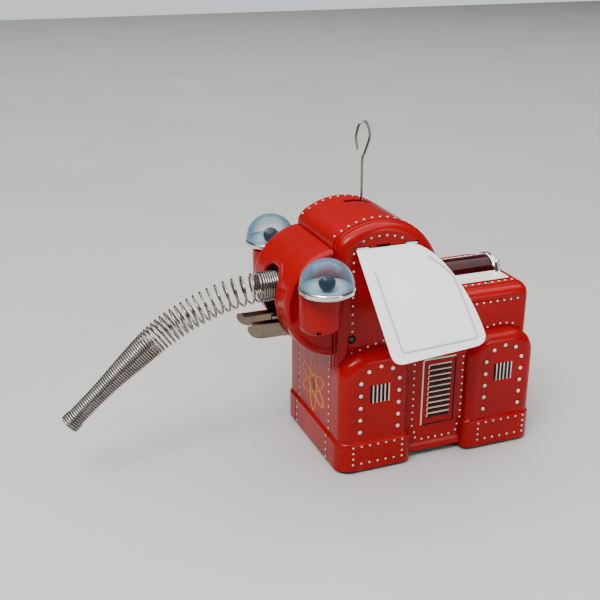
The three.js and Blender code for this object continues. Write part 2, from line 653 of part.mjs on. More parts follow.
function frontBracket() {
  const low = PLATE.high + GAP;
  const [front, rear] = [FRONT_AXLE.x - BRACKET.reach, FRONT_AXLE.x + BRACKET.reach];
  const outer = BRACKET.half + BRACKET.sheet;
  const cheeks = [-1, 1].map((side) => {
    const [yLow, yHigh] = inOrder(side * BRACKET.half, side * outer);
    return box([front, yLow, low], [rear, yHigh, FRONT_AXLE.z + BRACKET.above]);
  });
  const floor = box([front, -outer, low], [rear, outer, PLATE.high + BRACKET.floor]);
  return cut(joined(floor, ...cheeks), barY(FRONT_AXLE.x, FRONT_AXLE.z, ARBOR + GAP, -FAR, FAR, 12));
}

const greatPhase = Math.atan2(second.z - WINDING.z, second.x - WINDING.x);
const secondPinionPhase = meshedPhase(WINDING, TEETH.great, greatPhase, second, TEETH.pinion);
const thirdPinionPhase = meshedPhase(WINDING, TEETH.great, greatPhase, third, TEETH.pinion);
const driveLine = Math.atan2(REAR_AXLE.z - second.z, REAR_AXLE.x - second.x);
const sparkLine = Math.atan2(SPARK.z - third.z, SPARK.x - third.x);

addPair('motor_plate', motorPlate(), 'plate');
[[MOTOR.front + 4, MOTOR.high - 5], [MOTOR.rear - 3, MOTOR.high - 3], [MOTOR.front + 4, MOTOR.low + 5],
  [MOTOR.rear - 2.5, 40]]
  .forEach(([x, z], index) => add(`pillar_${index + 1}`, pillar(x, z), 'brass'));
add('mainspring', mainspring(), 'springSteel');
add('winding_arbor', windingArbor(), 'springSteel');
add('winding_key', windingKey(), 'plate');
add('great_wheel', bored(WINDING, TEETH.great, greatPhase, layers.great), 'brass');
add('second_pinion', pinionArbor(second, TEETH.pinion, secondPinionPhase, layers.great), 'springSteel');
add('second_wheel', bored(second, TEETH.wheel, driveLine, layers.drive), 'brass');
add('third_pinion', pinionArbor(third, TEETH.pinion, thirdPinionPhase, layers.great), 'springSteel');
add('third_wheel', bored(third, TEETH.wheel, sparkLine, layers.train), 'brass');
add('spark_pinion', pinionArbor(SPARK, TEETH.pinion,
  meshedPhase(third, TEETH.wheel, sparkLine, SPARK, TEETH.pinion), layers.train), 'springSteel');
add('spark_wheel', cut(barY(SPARK.x, SPARK.z, SPARK.radius, -8, -4, 28),
  barY(SPARK.x, SPARK.z, ARBOR + GAP, -9, -3, 12)), 'flint');
add('crank_disc', crankDisc(), 'plate');
add('axle_pinion', gear(REAR_AXLE, TEETH.axlePinion,
  meshedPhase(second, TEETH.wheel, driveLine, REAR_AXLE, TEETH.axlePinion),
  layers.drive[0] - OVERLAP, layers.drive[1] + OVERLAP, ARBOR + GAP), 'brass');
for (const [name, axle] of [['rear', REAR_AXLE], ['front', FRONT_AXLE]]) {
  add(`${name}_axle`, barY(axle.x, axle.z, ARBOR, -WHEEL.y - WHEEL.width - 2, WHEEL.y + WHEEL.width + 2, 12),
    'springSteel');
  add(`${name}_left_wheel`, roadWheel(axle), 'rubber');
  add(`${name}_right_wheel`, mirrored(roadWheel(axle)), 'rubber');
}
add('front_bracket', frontBracket(), 'plate');

// ---------------------------------------------------------------- flint, rocker and link
const flintTop = SPARK.z + SPARK.radius + GAP;
add('flint', box([SPARK.x - FLINT.half, FLINT.front, flintTop],
  [SPARK.x + FLINT.half, FLINT.back, flintTop + FLINT.height]), 'flint');

// A leaf spring on the left motor plate holds the flint down on the spark wheel.
function flintSpring() {
  const low = flintTop + FLINT.height + GAP;
  const outer = -plateFace - FLINT.foot;
  const [front, rear] = [SPARK.x - FLINT.leafHalf, SPARK.x + FLINT.leafHalf];
  const leaf = box([front, outer, low], [rear, FLINT.back + 0.5, low + FLINT.leaf]);
  const foot = box([front, outer, MOTOR.high - 6], [rear, -plateFace - GAP, low + FLINT.leaf]);
  return joined(leaf, foot);
}

add('flint_spring', flintSpring(), 'springSteel');

// The rocker: two arms from its shaft to a cross bar above the ears' inner tabs.
function rocker() {
  const outline = new THREE.Shape();
  const [hub, barHalf, hubX, hubHalf] = [4, 2, ROCKER.x - 3, 2.6];
  outline.moveTo(hubX, ROCKER.z + hubHalf);
  outline.lineTo(ROCKER.barX - barHalf, ROCKER.barZ + barHalf);
  outline.lineTo(ROCKER.barX - barHalf, ROCKER.barZ - barHalf);
  outline.lineTo(hubX, ROCKER.z - hubHalf);
  outline.absarc(ROCKER.x, ROCKER.z, hub, Math.PI * 1.2, Math.PI * 2.8, false);
  const arms = [-1, 1].map((side) => {
    const [yLow, yHigh] = inOrder(side * ROCKER.arm, side * (ROCKER.arm + ROCKER.sheet));
    return acrossY(outline, yLow, yHigh, { curveSegments: 8 });
  });
  const barEnd = ROCKER.arm + ROCKER.sheet + 4.9;
  const bar = barY(ROCKER.barX, ROCKER.barZ, ROCKER.bar, -barEnd, barEnd, 10);
  return cut(joined(...arms, bar), barY(ROCKER.x, ROCKER.z, ARBOR + GAP, -FAR, FAR, 12));
}

// The link rod hangs from the rocker's left hub and ends beside the crank pin.
function linkRod() {
  const y = -ROCKER.arm - ROCKER.sheet - GAP - 0.5;
  const top = new THREE.Vector3(ROCKER.x, y, ROCKER.z - 5);
  const end = new THREE.Vector3(second.x + CRANK.throw, y, second.z);
  return wire([top, top.clone().lerp(end, 0.5), end], 0.7, 4, 8);
}

const rockerShaftEnd = CORE.half - WALL - GAP;
add('rocker_shaft', barY(ROCKER.x, ROCKER.z, ARBOR, -rockerShaftEnd, rockerShaftEnd, 12), 'plate');
add('rocker', rocker(), 'plate');
add('link_rod', linkRod(), 'springSteel');

// ---------------------------------------------------------------- stand the toy on its origin
const extent = new THREE.Box3().setFromObject(robot);
const middle = extent.getCenter(new THREE.Vector3());
robot.position.set(-middle.x, -middle.y, -extent.min.z);

export default robot;
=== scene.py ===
"""Looks of the tin wind-up elephant robot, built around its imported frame.

Shapes are drawn in the toy's own millimetres: -X is forwards, -Y is the toy's left side, +Z is up,
x = 0 is the middle of the body and z = 0 is the lower edge of the skirt. `place` moves them into
the frame, from the corner of the CAD side shell.
"""

import json
from math import acos, asin, copysign, cos, degrees, pi as PI, radians, sin, sqrt

import bmesh
import bpy
from mathutils import Matrix, Vector


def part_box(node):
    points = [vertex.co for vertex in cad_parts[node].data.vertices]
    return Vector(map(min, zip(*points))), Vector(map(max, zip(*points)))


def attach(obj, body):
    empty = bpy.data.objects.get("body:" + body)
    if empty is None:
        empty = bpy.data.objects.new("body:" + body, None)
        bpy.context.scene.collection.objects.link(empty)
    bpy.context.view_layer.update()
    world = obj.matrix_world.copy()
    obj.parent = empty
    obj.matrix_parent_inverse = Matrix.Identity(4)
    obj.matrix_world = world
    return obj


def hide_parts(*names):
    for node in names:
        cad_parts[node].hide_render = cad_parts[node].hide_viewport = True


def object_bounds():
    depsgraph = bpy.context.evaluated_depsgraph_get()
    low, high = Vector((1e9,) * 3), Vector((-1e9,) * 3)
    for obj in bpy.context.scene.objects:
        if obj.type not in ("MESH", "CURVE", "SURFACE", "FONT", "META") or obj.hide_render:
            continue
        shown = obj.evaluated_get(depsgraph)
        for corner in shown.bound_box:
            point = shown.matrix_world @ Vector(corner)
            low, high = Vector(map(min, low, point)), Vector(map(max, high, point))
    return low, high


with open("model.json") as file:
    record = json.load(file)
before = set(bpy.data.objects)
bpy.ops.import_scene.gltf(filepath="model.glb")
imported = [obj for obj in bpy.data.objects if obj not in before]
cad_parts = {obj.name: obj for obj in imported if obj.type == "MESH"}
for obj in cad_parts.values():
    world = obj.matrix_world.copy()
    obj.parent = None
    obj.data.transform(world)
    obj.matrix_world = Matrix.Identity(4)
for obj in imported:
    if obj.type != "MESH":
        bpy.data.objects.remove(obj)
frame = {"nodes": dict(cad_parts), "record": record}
cad_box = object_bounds()

MM = 0.001

# ---- driving sizes, millimetres
SHEET = 0.6
BODY_FRONT, BODY_REAR, RUMP_TOP, RUMP_ROUND = -58.7, 59.6, 91.0, 7.0
HUMP_X, HUMP_Z, HUMP_R = -34.0, 99.3, 37.0
BAND_HALF, CORE_HALF, LEG_HALF, WAIST_HALF, SKIRT_HALF = 24.0, 30.0, 38.9, 34.5, 40.4
SEAM = 24.3
SKIRT_STEP, SKIRT_TOP, SKIRT_ROLL = 1.5, 15.6, 1.4  # step out, its height, height of its roll
ARCH_FRONT, ARCH_REAR, ARCH_TOP = -16.6, 16.0, 2.2  # the gap under the waist
LEG_BEAD = 0.3  # the edge round a leg's flat panel
BLOCK_INNER, BLOCK_FOOT, BEYOND = 20.0, -6.0, 200  # where solid blocks end before they are cut
UNDERSIDE = (-BEYOND, -BEYOND, -BEYOND), (BEYOND, BEYOND, 0)  # all that lies below the floor
FRONT_LEG, REAR_LEG = (-58.7, -18.0), (17.0, 59.6)
LEG_TOP, LEG_SHOULDER = 66.5, 14.0
HEAD_X, HEAD_Z, HEAD_R, HEAD_HALF = -55.2, 93.1, 29.5, 26.5
MOUTH_HALF, MOUTH_LOW, MOUTH_HIGH = 10.2, 69.5, 108.5
MOUTH_ROUND, LIP = 7.5, 1.5  # corner radius, radius of the roll round it
EYE_X, EYE_Y, EYE_RING_LOW, EYE_RING_HIGH = -68.7, 41.1, 106.8, 109.8
EYE_RING_R, EYE_DOME_R = 14.4, 14.0
POD_X, POD_Y, POD_R, POD_LOW, POD_BACK = -70.0, 35.5, 11.0, 84.0, 25.3
EAR_Y, EAR_Z, EAR_TILT, EAR_FRONT, EAR_REAR, EAR_DROP = 31.0, 123.0, 35.0, -48.5, -17.8, 61.0
EAR_SLOTS = (-44.5, -33.0, -17.0)
WINDOW_FRONT, WINDOW_REAR, WINDOW_R, WINDOW_CROWN, WINDOW_FLANGE = 3.3, 47.0, 10.6, 98.8, 20.0
WINDOW_FOOT = RUMP_TOP + 0.35
TAIL_X, TAIL_Z = 55.3, 93.8
ANTENNA_X, ANTENNA_Y, ANTENNA_PIVOT, ANTENNA_NECK, ANTENNA_TOP = -27.0, 11.0, 98.0, 162.0, 179.0
JAW_X, JAW_Z = -49.6, 72.5
TUSK_Y, TUSK_REAR, TUSK_TIP, TUSK_LOW, TUSK_HIGH = 9.8, -76.0, -100.0, 72.4, 80.4
TRUNK_LINE = [(-80, 98), (-98, 97), (-118, 92), (-140, 81.5), (-160, 66.3), (-180, 49), (-194.5, 35.8)]
TRUNK_ROOT_R, TRUNK_TIP_R, TRUNK_WIRE = 8.25, 4.85, 0.6
TRUNK_CLOSED, TRUNK_OPEN = 1.28, (5.1, 2.4)  # from coil to coil where closed, and where open
TRUNK_ROOT_LONG, TRUNK_NECK, TRUNK_TAPER = 9, 0.60, 0.46  # closed root; shares of the length
WINDING_X, WINDING_Z = 4.0, 44.0
KEY_LOW, KEY_LENGTH, KEY_BARREL, KEY_BOW_OUT, KEY_SPREAD = WAIST_HALF + 4.0, 16.0, 2.8, 13.0, 9.5
WHEEL_R, WHEEL_INNER, WHEEL_WIDTH, REAR_AXLE_X, FRONT_AXLE_X, AXLE_Z = 12.0, 20.0, 5.0, 30.0, -38.0, 10.0
RIVET, BIG_RIVET = 0.64, 1.2

ACROSS, FORWARDS = Vector((0, 1, 0)), Vector((-1, 0, 0))
shell_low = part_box("left_shell")[0]
shell_front = BODY_FRONT - SKIRT_STEP
TO_FRAME = Matrix.Translation((shell_low.x - shell_front * MM, 0, shell_low.z)) @ Matrix.Scale(MM, 4)


# ---- materials
def node_material(name):
    material = bpy.data.materials.new(name)
    material.use_nodes = True
    tree = material.node_tree
    return material, tree, tree.nodes["Principled BSDF"]


def feed(tree, node, **values):
    """Sets a node's inputs, from numbers or other nodes' outputs; `_` stands for a space."""
    for name, value in values.items():
        socket = node.inputs[name.replace("_", " ")]
        if isinstance(value, (int, float)):
            socket.default_value = value
        else:
            tree.links.new(value, socket)


def noise(tree, scale, detail, distortion=0.0):
    """Noise over the toy's own coordinates, `scale` cells per metre."""
    coords = tree.nodes.new("ShaderNodeTexCoord")
    texture = tree.nodes.new("ShaderNodeTexNoise")
    feed(tree, texture, Scale=scale, Detail=detail, Distortion=distortion, Vector=coords.outputs["Object"])
    return texture.outputs["Fac"]


def remap(tree, value, from_low, from_high, to_low=0.0, to_high=1.0):
    """Maps a value from one range to another and keeps it inside the second."""
    node = tree.nodes.new("ShaderNodeMapRange")
    feed(tree, node, Value=value, From_Min=from_low, From_Max=from_high, To_Min=to_low, To_Max=to_high)
    return node.outputs["Result"]


def mixed(tree, factor, first, second):
    """A colour mix; each end is a colour or another node's output."""
    colour_a, colour_b, colour_out = 6, 7, 2  # sockets that share their names with others
    node = tree.nodes.new("ShaderNodeMix")
    node.data_type = "RGBA"
    tree.links.new(factor, node.inputs["Factor"])
    for socket, value in ((node.inputs[colour_a], first), (node.inputs[colour_b], second)):
        if isinstance(value, tuple):
            socket.default_value = (*value, 1.0)
        else:
            tree.links.new(value, socket)
    return node.outputs[colour_out]


def bumped(tree, shader, height, strength, distance):
    """Gives the shader's surface a relief of `distance` metres."""
    node = tree.nodes.new("ShaderNodeBump")
    feed(tree, node, Height=height, Strength=strength, Distance=distance)
    feed(tree, shader, Normal=node.outputs["Normal"])


def lacquer(name, base, deep, chip=(0.16, 0.14, 0.13), chips=0.76, coat=0.6, gloss=0.5):
    """Glossy printed lacquer on tin: cloudy colour, fine chips, smudged gloss and a faint waviness."""
    material, tree, shader = node_material(name)
    paint = mixed(tree, remap(tree, noise(tree, 28, 4), 0.35, 0.65), base, deep)
    specks = remap(tree, noise(tree, 900, 2), chips, chips + 0.03)
    feed(tree, shader, Base_Color=mixed(tree, specks, paint, chip), Coat_Weight=coat,
         Roughness=remap(tree, noise(tree, 60, 5, 0.6), 0.3, 0.7, 0.16, 0.3),
         Coat_Roughness=0.06, Specular_IOR_Level=gloss)
    bumped(tree, shader, noise(tree, 90, 2), 0.05, 0.0004)
    return material


def metal(name, bright, dull, roughness, bump=0.05):
    """Bare or plated metal with smudges, fine grain and slight staining."""
    material, tree, shader = node_material(name)
    grain = 420
    stains = remap(tree, noise(tree, 90, 5, 0.8), 0.42, 0.72)
    feed(tree, shader, Base_Color=mixed(tree, stains, bright, dull), Metallic=1.0,
         Roughness=remap(tree, noise(tree, grain, 4), 0.3, 0.7, *roughness))
    bumped(tree, shader, noise(tree, grain * 1.5, 2), bump, 0.0003)
    return material


def clear_plastic(name, base, deep, alpha, edge_alpha, coat, gloss):
    """Tinted see-through plastic with a polished skin, faint dust and moulding ripple."""
    material, tree, shader = node_material(name)
    clouds = remap(tree, noise(tree, 70, 3), 0.35, 0.65)
    edge = tree.nodes.new("ShaderNodeLayerWeight")
    edge.inputs["Blend"].default_value = 0.35
    feed(tree, shader, Base_Color=mixed(tree, clouds, base, deep), Coat_Weight=coat, Coat_Roughness=0.02,
         Roughness=remap(tree, noise(tree, 500, 3), 0.4, 0.75, 0.03, 0.12),
         Alpha=remap(tree, edge.outputs["Facing"], 0.1, 0.68, alpha, edge_alpha),
         IOR=1.49, Specular_IOR_Level=gloss)
    bumped(tree, shader, noise(tree, 120, 1), 0.03, 0.0003)
    return material


def dull(name, base, deep, scale=300):
    """Rubber, grit, matt plastic, and the near-black painted shade inside hollow parts."""
    material, tree, shader = node_material(name)
    spots = remap(tree, noise(tree, scale, 4), 0.35, 0.65)
    feed(tree, shader, Base_Color=mixed(tree, spots, base, deep),
         Roughness=remap(tree, noise(tree, scale * 2, 3), 0.3, 0.7, 0.55, 0.85))
    bumped(tree, shader, noise(tree, scale * 2, 3), 0.2, 0.0003)
    return material


RED = lacquer("red_lacquer", (0.31, 0.0004, 0.002), (0.26, 0.0003, 0.0015), chips=0.80, coat=0.03, gloss=0.17)
WHITE = lacquer("white_enamel", (0.93, 0.94, 0.93), (0.89, 0.91, 0.91), chip=(0.42, 0.36, 0.32), chips=0.80)
# grey for the ear's raised bead: painted shade along its embossed line
EAR_LINE_SHADE = lacquer("ear_line_painted_shade", (0.56, 0.60, 0.60), (0.48, 0.52, 0.53), chip=(0.30, 0.26, 0.24))
DISH = lacquer("eye_dish", (0.36, 0.50, 0.58), (0.30, 0.44, 0.53), chips=0.9, coat=0.3)
CREAM = lacquer("cream_print", (0.80, 0.74, 0.62), (0.66, 0.56, 0.44), chips=0.70)
BLACK = lacquer("black_print", (0.006, 0.004, 0.004), (0.010, 0.005, 0.005), chips=0.9, coat=0.0,
                gloss=0.1)
# dark maroon: print in the louvres' throats, and painted shadow in the rings round the rivets
MAROON_PRINT_AND_SHADOW = lacquer("maroon_print_and_shadow", (0.07, 0.002, 0.003), (0.045, 0.0015, 0.002), chips=0.9, coat=0.0,
                 gloss=0.15)
ORANGE = lacquer("orange_print", (1.0, 0.42, 0.02), (0.95, 0.30, 0.015), chips=0.85, coat=0.0, gloss=0.2)
CHROME = metal("chrome", (0.78, 0.77, 0.74), (0.58, 0.56, 0.52), roughness=(0.08, 0.18), bump=0.02)
# steel tinted tan-brown: a painted reflection of a wooden tabletop in the flat blades
BLADE_WOOD_REFLECTION = metal("blade_painted_wood_reflection", (0.21, 0.17, 0.125), (0.15, 0.12, 0.09), roughness=(0.12, 0.22), bump=0.02)
# near-black steel for the jaw shaft: painted shade of the dark recess round the jaw pivot
RECESS_SHADE_STEEL = metal("steel_painted_recess_shade", (0.07, 0.065, 0.06), (0.04, 0.035, 0.03), roughness=(0.35, 0.55))
TRIM = lacquer("bright_trim", (0.86, 0.84, 0.76), (0.80, 0.77, 0.69), chips=0.82)
WIRE = metal("spring_wire", (0.30, 0.275, 0.25), (0.21, 0.19, 0.17), roughness=(0.16, 0.28), bump=0.02)
STEEL = metal("plated_steel", (0.46, 0.46, 0.46), (0.32, 0.31, 0.30), roughness=(0.28, 0.5))
BRASS = metal("brass", (0.72, 0.52, 0.22), (0.48, 0.33, 0.14), roughness=(0.22, 0.42))
BLUE = clear_plastic("blue_dome", (0.11, 0.22, 0.30), (0.09, 0.19, 0.27), 0.07, 0.88,
                     coat=0.5, gloss=0.45)
RUBY = clear_plastic("ruby_window", (0.040, 0.001, 0.003), (0.022, 0.0008, 0.002), 0.95, 0.99,
                     coat=0.0, gloss=0.25)
PUPIL = lacquer("pupil_black", (0.004, 0.008, 0.011), (0.007, 0.012, 0.015), chips=0.9, coat=0.0, gloss=0.12)
RUBBER = dull("tyre_rubber", (0.03, 0.03, 0.03), (0.055, 0.05, 0.048))
GRIT = dull("flint_grit", (0.12, 0.11, 0.10), (0.22, 0.20, 0.18), scale=700)
# near black: painted shade on the inner walls of the hollow head and eye pods
INSIDE_SHADE = dull("painted_inside_shade", (0.02, 0.008, 0.008), (0.035, 0.014, 0.014))

CAD_FINISH = {
    "red_tin": RED, "white_enamel": WHITE, "chrome": CHROME, "spring_steel": WIRE,
    "plated_steel": STEEL, "brass": BRASS, "blue_dome": BLUE, "red_window": RUBY,
    "black_plastic": PUPIL, "rubber": RUBBER, "flint": GRIT,
}


def finish_cad_nodes():
    """Every CAD node that stays in view gets its slot's procedural material."""
    slots = {part["node"]: part["material_slot"] for part in frame["record"]["subparts"]}
    for name, node in frame["nodes"].items():
        node.data.materials.clear()
        # the jaw shaft's end gets near-black steel: painted shade of the recess round the pivot
        node.data.materials.append(RECESS_SHADE_STEEL if name == "jaw_shaft" else CAD_FINISH[slots[name]])


# ---- mesh building
def link(obj):
    """Puts a new object into the scene."""
    bpy.context.scene.collection.objects.link(obj)


def new_object(name, vertices, faces, material):
    """A linked mesh object with its doubles merged and its faces turned outwards."""
    mesh = bpy.data.meshes.new(name)
    mesh.from_pydata([tuple(v) for v in vertices], [], faces)
    mesh.materials.append(material)
    obj = bpy.data.objects.new(name, mesh)
    link(obj)
    tidy_normals(obj)
    return obj


def tidy_normals(obj):
    """Merges doubled points and turns every face outwards."""
    tool = bmesh.new()
    tool.from_mesh(obj.data)
    bmesh.ops.remove_doubles(tool, verts=tool.verts, dist=1e-4)
    bmesh.ops.recalc_face_normals(tool, faces=tool.faces)
    tool.to_mesh(obj.data)
    tool.free()


def crease(obj, sharp, weighted):
    """Smooth shading, with edges over `sharp` degrees kept crisp and flat faces kept flat."""
    tool = bmesh.new()
    tool.from_mesh(obj.data)
    for face in tool.faces:
        face.smooth = True
    for edge in tool.edges:
        edge.smooth = len(edge.link_faces) == 2 and edge.calc_face_angle(0) < radians(sharp)
    tool.to_mesh(obj.data)
    tool.free()
    if weighted:
        modifier = obj.modifiers.new("flat_faces", "WEIGHTED_NORMAL")
        modifier.keep_sharp = True


def place(obj, body, slot, replaces=(), sharp=32, weighted=True):
    """Moves a finished piece from toy millimetres into the frame and makes it ride on its body."""
    crease(obj, sharp, weighted)
    obj.data.transform(TO_FRAME)
    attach(obj, body)
    if replaces:
        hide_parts(*replaces)
    return obj


def mirror(obj, name):
    """A copy of a toy-millimetre piece on the toy's other side."""
    twin = bpy.data.objects.new(name, obj.data.copy())
    link(twin)
    twin.data.transform(Matrix.Diagonal((1, -1, 1, 1)))
    twin.data.flip_normals()
    return twin


def place_pair(left, kind, slot, bodies=("body", "body"), **finish):
    """Mirrors a left piece and places both, each for the CAD node of its side."""
    left.name = f"left_{kind}_look"
    right = mirror(left, f"right_{kind}_look")
    for side, piece, body in zip(("left", "right"), (left, right), bodies):
        place(piece, body, slot, [f"{side}_{kind}"], **finish)


def boolean(target, *tools, operation="DIFFERENCE"):
    """Applies boolean operations to `target` and removes the tools."""
    for tool in tools:
        modifier = target.modifiers.new("cut", "BOOLEAN")
        modifier.operation = operation
        modifier.solver = "MANIFOLD"
        modifier.object = tool
        depsgraph = bpy.context.evaluated_depsgraph_get()
        mesh = bpy.data.meshes.new_from_object(target.evaluated_get(depsgraph))
        target.modifiers.clear()
        old = target.data
        target.data = mesh
        bpy.data.meshes.remove(old)
        bpy.data.objects.remove(tool)
    return target


def join(name, pieces):
    """Several pieces as one object that keeps each one's materials."""
    materials = []
    tool = bmesh.new()
    for piece in pieces:
        offset = len(materials)
        materials.extend(piece.data.materials)
        count = len(tool.faces)
        tool.from_mesh(piece.data)
        tool.faces.ensure_lookup_table()
        for face in tool.faces[count:]:
            face.material_index += offset
        bpy.data.objects.remove(piece)
    mesh = bpy.data.meshes.new(name)
    tool.to_mesh(mesh)
    tool.free()
    for material in materials:
        mesh.materials.append(material)
    obj = bpy.data.objects.new(name, mesh)
    link(obj)
    return obj


def loft(name, rings, material, closed=False):
    """A skin over equal rings of points, capped at both ends unless it closes on itself."""
    count = len(rings[0])
    vertices = [point for ring in rings for point in ring]
    faces = []
    spans = len(rings) if closed else len(rings) - 1
    for span in range(spans):
        a, b = span * count, (span + 1) % len(rings) * count
        for i in range(count):
            j = (i + 1) % count
            faces.append((a + i, a + j, b + j, b + i))
    if not closed:
        faces.append(tuple(range(count))[::-1])
        faces.append(tuple(range((len(rings) - 1) * count, len(rings) * count)))
    return new_object(name, vertices, faces, material)


def across(outline, profile, material=RED):
    """Lofts outline(inset) -> (x, z) points along Y through (inset, y) pairs."""
    return loft("block", [[(x, y, z) for x, z in outline(inset)] for inset, y in profile], material)


def upright(outline, profile, material=RED):
    """Lofts outline(inset) -> (x, y) points along Z through (inset, z) pairs."""
    return loft("block", [[(x, y, z) for x, y in outline(inset)] for inset, z in profile], material)


def along_x(section, x_low, x_high, material=RED):
    """A (y, z) section drawn out along X."""
    return loft("bar", [[(x, y, z) for y, z in section] for x in (x_low, x_high)], material)


def round_bar(x, z, radius, y_low, y_high, segments=24):
    """A bar along Y, for cutting a round hole."""
    around = circle(radius, segments)
    return loft("bar", [[(x + dx, y, z + dz) for dx, dz in around] for y in (y_low, y_high)], RED)


def box(low, high, material=RED):
    """A block between its lowest and highest corners."""
    (ax, ay, az), (bx, by, bz) = low, high
    corners = [(ax, ay), (bx, ay), (bx, by), (ax, by)]
    return loft("box", [[(x, y, z) for x, y in corners] for z in (az, bz)], material)


def arc(x, z, radius, start, end, steps):
    """Points of an arc, in degrees."""
    angles = [radians(start + (end - start) * k / steps) for k in range(steps + 1)]
    return [(x + radius * cos(a), z + radius * sin(a)) for a in angles]


def lathe(name, profile, segments, material):
    """Spins (radius, z) points about the Z axis; points on the axis close it."""
    vertices, rings = [], []
    for radius, z in profile:
        if radius < 1e-6:
            rings.append([len(vertices)])
            vertices.append((0, 0, z))
        else:
            rings.append(list(range(len(vertices), len(vertices) + segments)))
            vertices.extend((x, y, z) for x, y in circle(radius, segments))
    faces = []
    for lower, upper in zip(rings, rings[1:]):
        for k in range(segments):
            corners = [lower[k % len(lower)], lower[(k + 1) % len(lower)],
                       upper[(k + 1) % len(upper)], upper[k % len(upper)]]
            unique = list(dict.fromkeys(corners))
            if len(unique) > 2:
                faces.append(tuple(unique))
    return new_object(name, vertices, faces, material)


def sweep(name, path, section, material, closed=False, start_normal=ACROSS):
    """Carries a section of (side, up) points along a path without twisting."""
    points = [Vector(p) for p in path]
    rings = []
    normal = start_normal
    for k, point in enumerate(points):
        before = points[k - 1] if (closed or k) else point
        after = points[(k + 1) % len(points)] if (closed or k < len(points) - 1) else point
        tangent = (after - before).normalized()
        normal = (normal - tangent * normal.dot(tangent)).normalized()
        side = tangent.cross(normal)
        rings.append([point + normal * up + side * out for out, up in section])
    return loft(name, rings, material, closed)


def circle(radius, count):
    """Points round a circle, starting on the first axis."""
    angles = [2 * PI * k / count for k in range(count)]
    return [(radius * cos(a), radius * sin(a)) for a in angles]


def smooth_path(points, steps, closed=False):
    """A uniform Catmull-Rom curve through points, `steps` per span."""
    given = [Vector(p) for p in points]
    count = len(given)
    path = []
    for span in range(count if closed else count - 1):
        p1, p2 = given[span], given[(span + 1) % count]
        p0 = given[span - 1] if (closed or span) else p1 * 2 - p2
        p3 = given[(span + 2) % count] if (closed or span < count - 2) else p2 * 2 - p1
        for k in range(steps):
            t = k / steps
            path.append(0.5 * ((2 * p1) + (p2 - p0) * t + (2 * p0 - 5 * p1 + 4 * p2 - p3) * t * t
                               + (3 * p1 - p0 - 3 * p2 + p3) * t ** 3))
    if not closed:
        path.append(given[-1])
    return path


def bezier(a, b, c, d, steps):
    """Points of a cubic Bezier curve from a to d."""
    def at(t):
        return tuple((1 - t) ** 3 * p + 3 * (1 - t) ** 2 * t * q + 3 * (1 - t) * t * t * r + t ** 3 * s
                     for p, q, r, s in zip(a, b, c, d))
    return [at(k / steps) for k in range(steps + 1)]


# ---- body outlines, (x, z) or (x, y)
def body_outline(inset=0.0, skirt=False):
    """The body from the side; `skirt` adds the step out near the floor."""
    front, rear, top = BODY_FRONT + inset, BODY_REAR - inset, RUMP_TOP - inset
    hump, corner = HUMP_R - inset, max(RUMP_ROUND - inset, 0.6)
    step = SKIRT_STEP if skirt else 0.0
    ledge = SKIRT_TOP + SKIRT_ROLL
    roll = [(0.0, 0.0), (0.6, 0.6), (1.0, SKIRT_ROLL)]  # share of the step, drop from the ledge
    start = degrees(acos((front - HUMP_X) / hump))
    shoulder = HUMP_Z + hump * sin(radians(start))
    over = arc(HUMP_X, HUMP_Z, hump, start - 8, 0, 42)
    points = [(rear + step, BLOCK_FOOT), (front - step, BLOCK_FOOT)]
    points += [(front - step * share, ledge - drop) for share, drop in reversed(roll)]
    handles = [(front, shoulder - below) for below in (5.5, 2, 0.2)]  # eases the front into the hump
    points += bezier(*handles, over[0], 6)[:-1] + over
    points += [(HUMP_X + hump, top + 1.0), (HUMP_X + hump + 1.0, top)]
    points += arc(rear - corner, top - corner, corner, 90, 0, 10)
    return points + [(rear + step * share, ledge - drop) for share, drop in roll]


def leg_outline(span):
    """A leg from the side: upright, with two rounded shoulders."""
    def outline(inset):
        left, right, top = span[0] + inset, span[1] - inset, LEG_TOP - inset
        shoulder = LEG_SHOULDER - inset * 0.8
        return ([(right, BLOCK_FOOT), (left, BLOCK_FOOT)]
                + arc(left + shoulder, top - shoulder, shoulder, 180, 90, 12)
                + arc(right - shoulder, top - shoulder, shoulder, 90, 0, 12))
    return outline


def plan_outline(x_low, x_high, half, rounds):
    """A block from above on the toy's left: rounded at its two outer corners."""
    def outline(inset):
        left, right, side = x_low + inset, x_high - inset, -(half - inset)
        front_round, rear_round = (max(size - inset, 0.4) for size in rounds)
        return ([(right, -BLOCK_INNER), (left, -BLOCK_INNER)]
                + arc(left + front_round, side + front_round, front_round, 180, 270, 8)
                + arc(right - rear_round, side + rear_round, rear_round, 270, 360, 8))
    return outline


def leg_profile():
    """(inset, y) pairs of a leg: out from the body, round over, and down to the flat panel."""
    edge, radius = LEG_HALF + LEG_BEAD, 6.0
    fall = [(0.5, 0), (0.9, 0.3), (1.4, 0.85), (1.9, 1)]  # inset from the round, share of the bead
    return ([(0.0, -BLOCK_INNER)] + arc(radius, radius - edge, radius, 180, 270, 10)
            + [(radius + inset, LEG_BEAD * share - edge) for inset, share in fall])


def core_profile():
    """(inset, y) pairs of the body's side: a groove by the seam, a rounded arch and a step down."""
    inset, y, wide, high = 1.25, 26.5, 4.6, 4.2  # where the arch starts, and its size
    pairs = [(0.5, -BLOCK_INNER), (0.5, -25.9), (0.6, -26.2), (1.1, -26.35), (inset, -y)]
    for angle in [PI / 2 * k / 8 for k in range(1, 9)]:
        pairs.append((inset + wide * (1 - cos(angle)), -(y + high * sin(angle))))
    return pairs + [(6.3, -30.7), (6.7, -30.5), (7.1, -30.2), (7.6, -CORE_HALF)]


